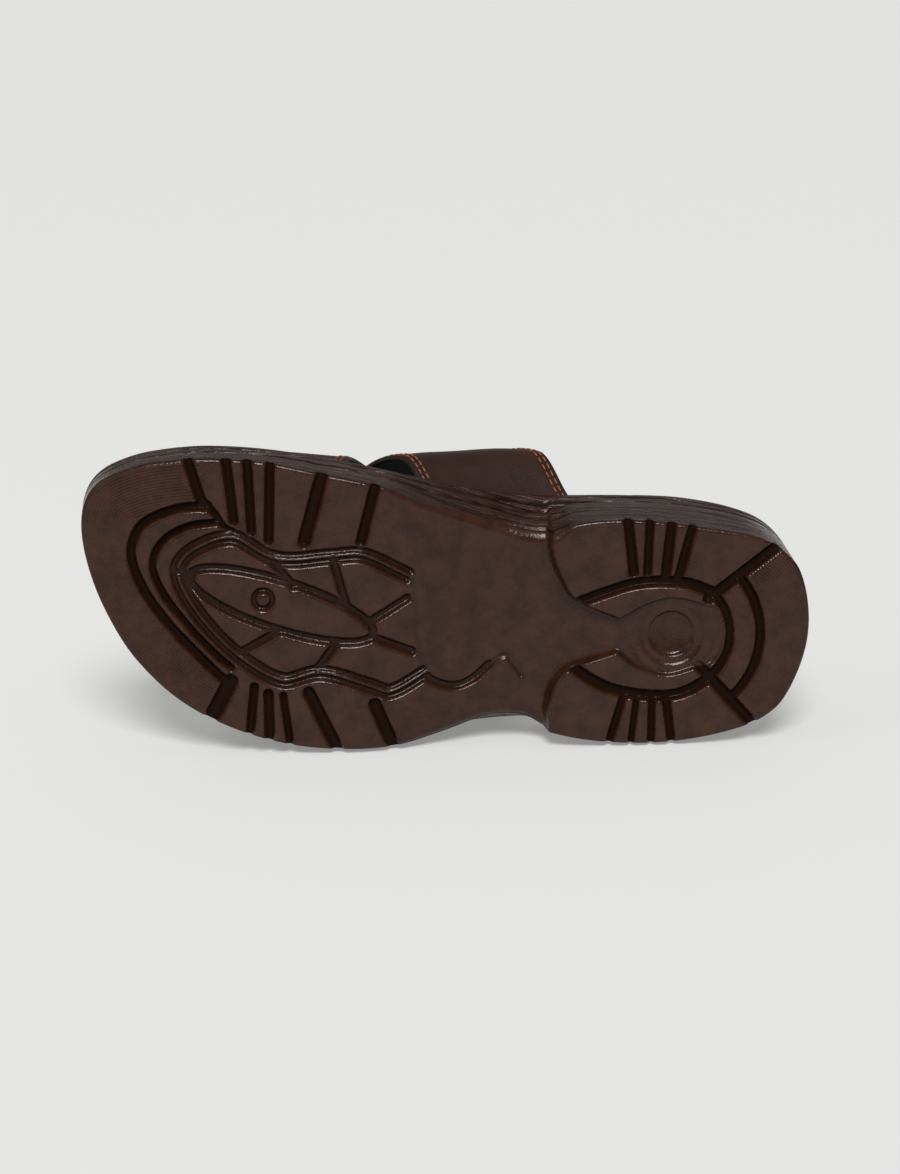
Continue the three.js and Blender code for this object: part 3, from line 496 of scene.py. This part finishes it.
def woven_lining():
    """Woven nylon: near black and matt, with a close weave."""
    material, tree, shader = new_material("woven_nylon_lining")
    place = add(tree, "ShaderNodeAttribute", attribute_name="place").outputs["Vector"]
    weave = add(tree, "ShaderNodeTexChecker", {"Vector": place, "Scale": 1800.0}).outputs["Fac"]
    clouds = add(tree, "ShaderNodeTexNoise", {"Vector": place, "Scale": 150.0, "Detail": 3.0}).outputs[0]
    threads = add(tree, "ShaderNodeBump", {"Height": weave, "Strength": 0.4, "Distance": 0.2 * MM})
    fill(tree, shader, {"Base Color": tones(tree, clouds, "#141315", "#222124"), "Roughness": 0.75,
                        "IOR": 1.5, "Normal": threads.outputs[0]})
    return material


def footbed_cover():
    """Coated split leather over foam: black, softly grained and a little shiny."""
    material, tree, shader = new_material("coated_split_leather")
    place = add(tree, "ShaderNodeAttribute", attribute_name="place").outputs["Vector"]
    pebbles = add(tree, "ShaderNodeTexVoronoi", {"Vector": place, "Scale": 900.0},
                  feature="DISTANCE_TO_EDGE").outputs["Distance"]
    clouds = add(tree, "ShaderNodeTexNoise", {"Vector": place, "Scale": 40.0, "Detail": 3.0}).outputs[0]
    grain = add(tree, "ShaderNodeBump", {"Height": pebbles, "Strength": 0.4, "Distance": 0.3 * MM})
    fill(tree, shader, {"Base Color": tones(tree, clouds, "#191717", "#252221"), "Roughness": 0.5,
                        "IOR": 1.5, "Normal": grain.outputs[0]})
    return material


def bonded_thread():
    """Bonded polyester thread: burnt orange with a faint twist and sheen."""
    material, tree, shader = new_material("bonded_polyester_thread")
    place = add(tree, "ShaderNodeAttribute", attribute_name="place").outputs["Vector"]
    twist = add(tree, "ShaderNodeTexNoise", {"Vector": place, "Scale": 2500.0, "Detail": 2.0}).outputs[0]
    plies = add(tree, "ShaderNodeBump", {"Height": twist, "Strength": 0.5, "Distance": 0.2 * MM})
    fill(tree, shader, {"Base Color": tones(tree, twist, "#7c3a20", "#a0562e"), "Roughness": 0.5,
                        "IOR": 1.5, "Normal": plies.outputs[0]})
    return material


def floor_with_painted_glow():
    """A matt pale floor sheet with a painted glow: it glows faintly and evenly, which keeps the shadows on it
    pale."""
    material, tree, shader = new_material("floor_with_painted_glow")
    fill(tree, shader, {"Base Color": linear("#c3c3c1"), "Roughness": 0.7, "IOR": 1.49,
                        "Emission Color": linear("#fffffd"), "Emission Strength": 0.25})
    return material


def piece(name, points, faces, materials, face_slots=None, values=None):
    """A smooth mesh of points in the shoe's axes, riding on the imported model's one body."""
    mesh = bpy.data.meshes.new(name)
    mesh.from_pydata(laid(points).tolist(), [], faces)
    place = mesh.attributes.new("place", "FLOAT_VECTOR", "POINT")
    place.data.foreach_set("vector", np.asarray(points, np.float32).ravel())
    for key, numbers in (values or {}).items():
        attribute = mesh.attributes.new(key, "FLOAT", "POINT")
        attribute.data.foreach_set("value", np.asarray(numbers, np.float32))
    for material in materials:
        mesh.materials.append(material)
    if face_slots is not None:
        mesh.polygons.foreach_set("material_index", face_slots)
    mesh.polygons.foreach_set("use_smooth", [True] * len(mesh.polygons))
    made = bpy.data.objects.new(name, mesh)
    bpy.context.scene.collection.objects.link(made)
    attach(made, "root")
    return made


def tread_channels():
    """Centre line, width and depth of every groove in the tread."""
    lines = [(curved(route), width, LUG_GROOVE_DEPTH) for width, route in TOE_ARCS + HEEL_ARCS]
    for edge_at, edge_y, inner_at, inner_y, width in LUG_GROOVES:
        line = placed([(edge_at, edge_y), (inner_at, inner_y)])
        lines.append((line, width * GROOVE_WIDTH, LUG_GROOVE_DEPTH))
    centre = placed(HEEL_CENTRE)
    for radius in HEEL_RINGS:
        lines.append((arc(centre, radius, *RING_TURNS), RING_GROOVE, LUG_GROOVE_DEPTH))
    edge = curved(MEDALLION_EDGE, MEDALLION_POINTS)
    for inset in (0, MEDALLION_GROOVE + MEDALLION_RIDGE):
        line = inset_line(edge, -inset - MEDALLION_GROOVE / 2)
        lines.append((line, MEDALLION_GROOVE, MEDALLION_DEPTH))
    lines.append((on_leaf(*leaf_blade()), VEIN_WIDTH, MEDALLION_DEPTH))
    stud = on_leaf(STUD_SHARE, 0)
    lines.append((arc(stud, STUD_RADIUS + STUD_GROOVE / 2, 0, 2 * math.pi), STUD_GROOVE, MEDALLION_DEPTH))
    lines += [(placed(vein), VEIN_WIDTH, MEDALLION_DEPTH) for vein in LEAF_VEINS]
    lines.append((curved(WAVE), *WAVE_GROOVE))
    lines.append((curved(WAVE_TAIL), *WAVE_TAIL_GROOVE))
    lines.append((placed(PANEL_ENDS), *PANEL_END_GROOVE))
    return lines


def leaf_blade():
    turn = np.linspace(0, 2 * math.pi, LEAF_POINTS)
    return (1 - np.cos(turn)) / 2, np.sin(turn) * LEAF_WIDTH / 2


def on_leaf(share, offset):
    """A point of the leaf, from its tip along its midrib, and square to it."""
    x, y = -np.asarray(share) * LEAF_LENGTH, np.asarray(offset, float)
    cos, sin = math.cos(LEAF_TURN), math.sin(LEAF_TURN)
    return np.stack([x * cos - y * sin, x * sin + y * cos], -1) + placed(LEAF_TIP)


def heel_radius(x, y):
    return np.hypot(x - HEEL_CENTRE[0] * SOLE_LENGTH, y - HEEL_CENTRE[1] * BALL_WIDTH)


def ground_at(x, y):
    """Height of the tread without its grooves: heel lugs, sunk middle, waist and toe spring."""
    low, high = (share * SOLE_LENGTH for share in HEEL_SLOPE)
    middle = HEEL_MIDDLE_DEPTH + (SHANK_LIFT - HEEL_MIDDLE_DEPTH) * smoothstep(x, low, high)
    radius = heel_radius(x, y)
    for step_radius, rise in HEEL_STEPS:
        middle = middle + rise * smoothstep(step_radius - radius, -GROOVE_WALL / 2, GROOVE_WALL / 2)
    floor = np.where(x < MIDDLE_END * SOLE_LENGTH, middle, SHANK_LIFT * section("lift", x))
    edge = np.vstack([curved(route)[1:] for route in HEEL_FRONT])
    loop = np.vstack([edge, placed(BEYOND_TOE)])
    depth = distance_to(edge, x, y)
    depth = np.where(inside(loop, x, y), depth, 0)
    wall = FRONT_WALL + FRONT_LEAN * floor
    return spring_at(x) + floor * smoothstep(depth, 0, wall)


def groove_at(x, y):
    """Depth of the grooves at points, less the height of the stud's dome."""
    depth = np.zeros(x.shape)
    for line, width, full in tread_channels():
        low, high = line.min(0) - width - GROOVE_WALL, line.max(0) + width + GROOVE_WALL
        near = (x > low[0]) & (x < high[0]) & (y > low[1]) & (y < high[1])
        away = distance_to(line, x[near], y[near])
        cut = full * smoothstep(width / 2 - away, -GROOVE_WALL / 2, GROOVE_WALL / 2)
        depth[near] = np.maximum(depth[near], cut)
    stud = on_leaf(STUD_SHARE, 0)
    dome = 1 - (np.hypot(x - stud[0], y - stud[1]) / STUD_RADIUS) ** 2
    depth = depth - STUD_DOME * np.clip(dome, 0, 1)
    # The heel's grooves are cut to one level, so they are shallower in its sunk middle.
    sunk = ground_at(x, y) - spring_at(x)
    return np.where(x < HEEL_END * SOLE_LENGTH, np.maximum(depth - sunk, 0), depth)


def disc_at(x, y):
    """Depth of the heel's round dish at points, with a step round its edge."""
    radius = heel_radius(x, y)
    share = np.clip(radius / HEEL_DISC_RADIUS, 0, 1)
    edge = smoothstep(HEEL_DISC_RADIUS - radius, -FRONT_WALL / 2, FRONT_WALL / 2)
    return edge * (HEEL_DISC_STEP + (HEEL_DISC_DEPTH - HEEL_DISC_STEP) * (1 - share**2))


def ridges_at(x, y, from_edge):
    """Phase of the fine ridges, as a length across them, and their height as a share."""
    toe = curved(TOE_ARCS[0][1])
    heel = arc(placed(HEEL_CENTRE), HEEL_RINGS[1], *RING_TURNS)
    crescents = np.zeros(x.shape, bool)
    for line, (before, after) in ((toe, TOE_CRESCENT), (heel, HEEL_CRESCENT)):
        crescents |= inside(np.vstack([placed(before), line, placed(after)]), x, y)
    crescents &= from_edge > RIDGE_MARGIN
    phase = np.where(crescents, from_edge, 0)
    lugs = np.zeros(x.shape, bool)
    for number, loop in RIDGED_LUGS:
        lug = inside(placed(loop), x, y)
        (ax, ay), (bx, by) = placed([LUG_GROOVES[number][:2], LUG_GROOVES[number][2:4]])
        away = abs((x - ax) * (by - ay) - (y - ay) * (bx - ax)) / math.hypot(bx - ax, by - ay)
        phase = np.where(lug, away, phase)
        lugs |= lug
    return phase, np.where(crescents, 1, LUG_RIDGES * lugs)


def side_profile():
    """Rows up the side: drop below the rim, and inset."""
    rows = []
    for drop in SIDE_GROOVE_DROPS:
        for turn in np.linspace(-math.pi, math.pi, GROOVE_TURNS):
            into = SIDE_GROOVE_DEPTH * (1 + math.cos(turn)) / 2
            rows.append((drop + turn / math.pi * SIDE_GROOVE_WIDTH / 2, into))
    for turn in (math.pi / 2, math.pi / 4, 0):
        rows.append((RIM_ROUND * (1 - math.sin(math.pi / 2 - turn)), RIM_ROUND * (1 - math.sin(turn))))
    return sorted(rows, reverse=True)


def sole_piece(material):
    shares = station_shares(STATIONS)
    rim, tread = outline("rim", shares), outline("tread", shares)
    x_rim = rim[:, 0]
    rounding = TREAD_ROUND + WAIST_ROUND * section("lift", x_rim)
    top = rim_at(x_rim)
    rings, sides, hollows = [], [], []

    # hollow holds each point's depth in a groove, as a share, which the skin uses for painted shading in the
    # grooves.
    def ring(flat, height, side, hollow=0):
        rings.append(np.column_stack([flat, height]))
        sides.append(np.full(len(flat), float(side)))
        hollows.append(hollow / LUG_GROOVE_DEPTH + np.zeros(len(flat)))

    for turn in TREAD_TURNS:
        flat = inset_line(tread, rounding * (1 - math.sin(turn)), True)
        ground, cut = ground_at(*flat.T), groove_at(*flat.T)
        ring(flat, ground + np.maximum(rounding * (1 - math.cos(turn)), cut), turn > SIDE_TURN, cut)
    foot = rings[-1][:, 2]
    lower = SIDE_GROOVE_DROPS[1] + SIDE_GROOVE_WIDTH / 2
    for share in SIDE_SHARES:
        height = foot + (top - lower - foot) * share
        along = (top - height) / (top - foot)
        ring(rim + (tread - rim) * along[:, None], height, 1)
    for drop, into in side_profile():
        along = drop / (top - foot)
        flat = rim + (tread - rim) * along[:, None]
        ring(inset_line(flat, into, True), top - drop, 1, into * LUG_GROOVE_DEPTH / SIDE_GROOVE_DEPTH)
    ring(inset_line(rim, RIM_WALL - RIM_ROUND, True), top, 0)
    ring(inset_line(rim, RIM_WALL, True), top - RIM_ROUND, 0)
    ring(inset_line(rim, RIM_WALL, True), top - TRAY_DEPTH, 0)

    size = len(rim)
    points = np.vstack(rings)
    faces = ring_faces(len(rings), size)
    grid, inner_points = across_grid(rings[0], TREAD_CELLS, len(points))
    x, y = inner_points[:, 0], inner_points[:, 1]
    inner_cut = groove_at(x, y)
    inner_points[:, 2] = ground_at(x, y) + inner_cut + disc_at(x, y)
    hollows.append(inner_cut / LUG_GROOVE_DEPTH)
    faces += grid_faces(grid, True)
    points = np.vstack([points, inner_points])
    tray, tray_points = across_grid(rings[-1], 2, len(points))
    faces += grid_faces(renumbered(tray, size, (len(rings) - 1) * size), False)
    points = np.vstack([points, tray_points])
    from_edge = distance_to(np.vstack([tread, tread[:1]])[::3], points[:, 0], points[:, 1])
    phase, ridged = ridges_at(points[:, 0], points[:, 1], from_edge)
    flat_part = np.zeros(len(points), bool)
    flat_part[:size] = True
    flat_part[len(rings) * size : len(rings) * size + len(inner_points)] = True
    ridged = ridged * (flat_part & (groove_at(points[:, 0], points[:, 1]) < RIDGE_CUT_LIMIT))
    side = np.concatenate([*sides, np.zeros(len(points) - len(rings) * size)])
    hollow = np.concatenate([*hollows, np.zeros(len(tray_points))])
    made = piece("sole_moulded", points, faces, [material],
                 values={"ridge": phase, "ridged": ridged, "side": side, "hollow": hollow})
    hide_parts("sole")


def ring_faces(count, size):
    """Quads between rings that share one number of points."""
    near = np.arange(size)
    far = np.roll(near, -1)
    return [
        (r * size + a, r * size + b, (r + 1) * size + b, (r + 1) * size + a)
        for r in range(count - 1)
        for a, b in zip(near.tolist(), far.tolist())
    ]


def across_grid(ring, cells, start):
    """Rows of point numbers across a closed ring, from its outer to its inner side, and the points
    inside it. The ring's own points keep their numbers."""
    size = len(ring)
    half = size // 2
    rows, inner = [[0]], []
    for k in range(1, half):
        a, b = ring[k], ring[size - k]
        first = start + len(inner)
        shares = np.arange(1, cells) / cells
        inner.extend(a + (b - a) * share for share in shares)
        rows.append([k, *range(first, first + cells - 1), size - k])
    rows.append([half])
    return rows, np.array(inner)


def renumbered(rows, size, start):
    """Rows of a grid whose ring is a later one, so that its own points carry later numbers."""
    return [[i + start if i < size else i for i in row] for row in rows]


def grid_faces(rows, flip):
    faces = []
    for low, high in zip(rows[:-1], rows[1:]):
        for c in range(max(len(low), len(high)) - 1):
            corners = [low[min(c, len(low) - 1)], high[min(c, len(high) - 1)],
                       high[min(c + 1, len(high) - 1)], low[min(c + 1, len(low) - 1)]]
            corners = list(dict.fromkeys(corners))
            if len(corners) > 2:
                faces.append(corners[::-1] if flip else corners)
    return faces


def insole_piece(material):
    shares = station_shares(INSOLE_STATIONS)
    rim = outline("rim", shares)
    x = rim[:, 0]
    at = x / SOLE_LENGTH
    size = len(rim)
    outer_side = np.arange(size) <= size // 2
    notch = np.zeros(size)
    for band in (UPPER_BAND, UNDER_BAND):
        for row, here in ((band[0], outer_side), (band[-1], ~outer_side)):
            low, high = row[2] - FIT / SOLE_LENGTH, row[1] + FIT / SOLE_LENGTH
            notch[here & (at > low) & (at < high)] = CAD_BAND_WALL + FIT
    rings = []
    lip = 1 - smoothstep(at, *HEEL_LIP) + smoothstep(at, *TOE_LIP)
    level = rim_at(x)
    top = level + INSOLE_PROUD + LIP_HEIGHT * lip
    inner = RIM_WALL + FIT + notch
    outer = inner + (LIP_INSET - inner) * lip

    def ring(inset, height):
        rings.append(np.column_stack([inset_line(rim, inset, True), height]))

    ring(inner, level - TRAY_DEPTH + FIT)
    ring(inner, level - FIT + 2 * FIT * lip)
    ring(outer, level - FIT / 2 + 1.5 * FIT * lip)
    for turn in INSOLE_TURNS:
        ring(outer + INSOLE_ROUND * (1 - math.cos(turn)), top - INSOLE_ROUND * (1 - math.sin(turn)))
    points = np.vstack(rings)
    faces = ring_faces(len(rings), size)
    bed, bed_points = across_grid(rings[0], 2, len(points))
    faces += grid_faces(bed, True)
    points = np.vstack([points, bed_points])
    cover, cover_points = across_grid(rings[-1], INSOLE_CELLS, len(points))
    faces += grid_faces(renumbered(cover, size, (len(rings) - 1) * size), False)
    shares_in = np.tile(np.arange(1, INSOLE_CELLS) / INSOLE_CELLS, size // 2 - 1)
    width = np.repeat(rings[-1][size - 1 : size // 2 : -1, 1] - rings[-1][1 : size // 2, 1], INSOLE_CELLS - 1)
    cover_points[:, 2] -= INSOLE_DISH * 4 * shares_in * (1 - shares_in) * width / BALL_WIDTH
    points = np.vstack([points, cover_points])
    made = piece("insole_padded", points, faces, [material])
    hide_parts("insole")


ROOM_SHARES = station_shares(ROOM_STATIONS)
ROOM_LINE = inset_line(outline("rim", ROOM_SHARES), RIM_WALL + FIT + CAD_BAND_WALL, True)


def room_point(x, way):
    """Points on the inside of the bands, from the outer foot (0) to the inner foot (1)."""
    half = len(ROOM_LINE) // 2
    outer_line, inner_line = ROOM_LINE[: half + 1], np.vstack([ROOM_LINE[:1], ROOM_LINE[:half - 1 : -1]])
    inward = way > 0.5
    base = np.where(inward, np.interp(x, *inner_line.T), -np.interp(x, *outer_line.T))
    share = np.clip(x / SOLE_LENGTH, 0, 1)
    height = INSTEP_HEIGHT * column(ROOM_NAMES, ROOM, "height", share)
    swell_in = INNER_BULGE * column(ROOM_NAMES, ROOM, "swell", share)
    swell = np.where(inward, swell_in, OUTER_BULGE)
    level = height * SWELL_LEVEL
    from_foot = np.where(inward, 1 - way, way)
    rise = level * from_foot / SIDE_WAY
    low_y = base + swell * smoothstep(rise, TRAY_DEPTH, level)
    turn = math.pi / 2 * (from_foot - SIDE_WAY) / (0.5 - SIDE_WAY)
    low = from_foot < SIDE_WAY
    y = np.where(low, low_y, (base + swell) * np.cos(turn))
    z = np.where(low, rise, level + (height - level) * np.sin(turn))
    return np.stack([x, np.where(inward, y, -y), rim_at(x) - TRAY_DEPTH + FIT + z], -1)


def band_point(x, way, offset):
    """Points at an offset outwards from the foot's room."""
    step, reach = 0.004, 1 * MM
    along = room_point(x, np.minimum(1, way + step)) - room_point(x, np.maximum(0, way - step))
    forward = room_point(x + reach, way) - room_point(x - reach, way)
    outwards = np.cross(forward, along)
    at_foot = (way == 0) | (way == 1)
    outwards[..., 2] = np.where(at_foot, 0, outwards[..., 2])
    outwards /= np.linalg.norm(outwards, axis=-1)[..., None]
    return room_point(x, way) + outwards * np.asarray(offset)[..., None]


def band_edges(table, way):
    front = column(BAND_NAMES, table, "front", way) * SOLE_LENGTH
    rear = column(BAND_NAMES, table, "rear", way) * SOLE_LENGTH
    return rear, front, column(BAND_NAMES, table, "rise", way) * CAD_BAND_WALL


def band_piece(name, table, leather, lining):
    """One folded band: leather outside and round its edges, lining inside."""
    way = np.linspace(0, 1, BAND_STEPS + 1)
    rear, front, rise = band_edges(table, way)
    radius = BAND_WALL / 2
    turns = np.linspace(0, math.pi, EDGE_TURNS)
    across = np.linspace(0, 1, BAND_CELLS + 1)[1:-1]
    # The loop goes over the leather from rear to front, round the fold and back over the lining.
    spots = [("flat", share, BAND_WALL) for share in across]
    spots += [("front", radius * math.sin(t), radius * (1 + math.cos(t))) for t in turns]
    spots += [("flat", share, 0) for share in across[::-1]]
    spots += [("rear", radius * math.sin(t), radius * (1 - math.cos(t))) for t in turns]
    size = len(spots)
    x = np.empty((len(way), size))
    offset = np.empty((len(way), size))
    for n, (kind, value, height) in enumerate(spots):
        inner_rear, inner_front = rear + radius, front - radius
        flat_x = inner_rear + (inner_front - inner_rear) * value
        x[:, n] = {"flat": flat_x, "front": inner_front + value, "rear": inner_rear - value}[kind]
        offset[:, n] = rise + height
    ways = np.repeat(way[:, None], size, 1)
    points = band_point(x, ways, offset)
    from_edge = np.minimum(x - rear[:, None], front[:, None] - x)
    index = np.arange((BAND_STEPS + 1) * size).reshape(BAND_STEPS + 1, size)
    faces, slots = [], []
    first_lining = len(across) + EDGE_TURNS
    last_lining = first_lining + len(across)
    for i in range(BAND_STEPS):
        for n in range(size):
            m = (n + 1) % size
            faces.append((index[i, n], index[i, m], index[i + 1, m], index[i + 1, n]))
            slots.append(1 if first_lining <= n < last_lining - 1 else 0)
    faces = [tuple(map(int, face)) for face in faces]
    faces += [tuple(map(int, index[0, ::-1])), tuple(map(int, index[-1]))]
    slots += [0, 0]
    made = piece(name, points.reshape(-1, 3), faces, [leather, lining], slots,
                 {"from_edge": from_edge.ravel()})
    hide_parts("upper")


def stitch_piece(name, table, material):
    """Double rows of stitches along both edges of a band, each a short rounded rod."""
    points, faces = [], []
    fine = np.linspace(*STITCHED, STITCH_FINENESS)
    rear, front, rise = band_edges(table, fine)
    for row in STITCH_ROWS:
        for x in (rear + row, front - row):
            line = band_point(x, fine, rise + BAND_WALL)
            outer = band_point(x, fine, rise + BAND_WALL + 1 * MM) - line
            length = np.concatenate([[0], np.cumsum(np.linalg.norm(np.diff(line, axis=0), axis=1))])
            for middle in np.arange(STITCH_PITCH / 2, length[-1] - STITCH_PITCH / 2, STITCH_PITCH):
                at = middle + ROD_SHAPE[:, 0] * STITCH_LENGTH
                centre = np.column_stack([np.interp(at, length, line[:, i]) for i in range(3)])
                normal = np.column_stack([np.interp(at, length, outer[:, i]) for i in range(3)])
                normal /= np.linalg.norm(normal, axis=1)[:, None]
                along = centre[-1] - centre[0]
                across = np.cross(along, normal)
                across /= np.linalg.norm(across, axis=1)[:, None]
                start = len(points)
                for k in range(ROD_SIDES):
                    turn = 2 * math.pi * k / ROD_SIDES
                    ray = across * math.cos(turn) + normal * math.sin(turn)
                    rod = centre + ray * (ROD_SHAPE[:, 1] * THREAD_RADIUS)[:, None]
                    points.extend(rod + normal * THREAD_RADIUS * THREAD_STAND)
                last = len(ROD_SHAPE)
                for k in range(ROD_SIDES):
                    near, far = start + k * last, start + (k + 1) % ROD_SIDES * last
                    for i in range(last - 1):
                        faces.append((near + i, near + i + 1, far + i + 1, far + i))
                faces.append([start + k * last for k in range(ROD_SIDES)])
                faces.append([start + k * last + last - 1 for k in range(ROD_SIDES)][::-1])
    piece(name, np.array(points), faces, [material])


# Studio

IMAGE_HEIGHT = 1174  # pixels of the picture
FOCAL_PIXELS = 2860
SENSOR = 36  # millimetres, over the picture's height
CAMERA_AWAY = 1.1
CAMERA_TARGET = (0.141, 0.013, 0)
VIEW_TURN = math.radians(7)  # between the sole's axis and the picture's row
VIEW_RISE = math.radians(12)  # towards the inner side
VIEW_TOE = math.radians(3)
VIEW_ROLL = math.radians(9)
FLOOR_REACH = 16.0  # how far the table runs to every side


def linked(name, data):
    made = bpy.data.objects.new(name, data)
    bpy.context.scene.collection.objects.link(made)
    return made


def turned(made, right, top, back, place):
    """Stands an object at a place, its own axes along three directions."""
    made.matrix_world = Matrix([[right[i], top[i], back[i], place[i]] for i in range(3)] + [[0, 0, 0, 1]])


def camera():
    """The camera at the photo's angle to the shoe."""
    toe = math.cos(VIEW_TURN) * TOE - math.sin(VIEW_TURN) * INNER
    inner = math.sin(VIEW_TURN) * TOE + math.cos(VIEW_TURN) * INNER
    target = laid(CAMERA_TARGET)
    sight = math.sin(VIEW_RISE) * inner - math.cos(VIEW_RISE) * UP
    sight = math.sin(VIEW_TOE) * toe + math.cos(VIEW_TOE) * sight
    hint = math.cos(VIEW_ROLL) * inner - math.sin(VIEW_ROLL) * UP
    data = bpy.data.cameras.new("camera")
    data.sensor_fit = "VERTICAL"
    data.sensor_height = SENSOR
    data.lens = FOCAL_PIXELS * SENSOR / IMAGE_HEIGHT
    made = linked("camera", data)
    right = unit(np.cross(hint, sight))
    turned(made, right, np.cross(sight, right), sight, target + CAMERA_AWAY * sight)
    bpy.context.scene.camera = made


def lamp(name, kind, place, aim, **settings):
    """A light at a place that shines at an aim."""
    data = bpy.data.lights.new(name, kind)
    for key, value in settings.items():
        setattr(data, key, value)
    back = unit(np.array(place) - aim)
    right = unit(np.cross((0, 1, 0.01), back))
    turned(linked(name, data), right, np.cross(back, right), back, place)


def studio():
    """A pale floor with a painted glow under the shoe, even air and two lights."""
    mesh = bpy.data.meshes.new("floor")
    corners = [(-1, -1, 0), (1, -1, 0), (1, 1, 0), (-1, 1, 0)]
    mesh.from_pydata((np.array(corners) * FLOOR_REACH).tolist(), [], [(0, 1, 2, 3)])
    mesh.materials.append(floor_with_painted_glow())
    floor = linked("floor", mesh)
    world = bpy.data.worlds.new("studio_air")
    world.use_nodes = True
    air = world.node_tree.nodes["Background"]
    air.inputs["Color"].default_value = linear("#f5f5f4")
    air.inputs["Strength"].default_value = 0.3
    bpy.context.scene.world = world
    # A soft light from the front and above lies as bright lines on the rounded edges that face up.
    lamp("high_front_light", "SUN", (-0.05, -1, 1), (0, 0, 0), energy=3.1, angle=math.radians(24))
    lamp("toe_side_softbox", "AREA", (-1.0, -0.5, 0.8), (-0.1, 0, 0.05),
         energy=1.0, shape="SQUARE", size=0.6)
    bpy.context.scene.view_settings.view_transform = "Standard"


camera()
studio()
sole_piece(moulded_polyurethane())
insole_piece(footbed_cover())
leather, lining, thread = full_grain_leather(), woven_lining(), bonded_thread()
for band_name, band_table in (("upper_band", UPPER_BAND), ("under_band", UNDER_BAND)):
    band_piece(band_name, band_table, leather, lining)
    stitch_piece(band_name + "_stitches", band_table, thread)
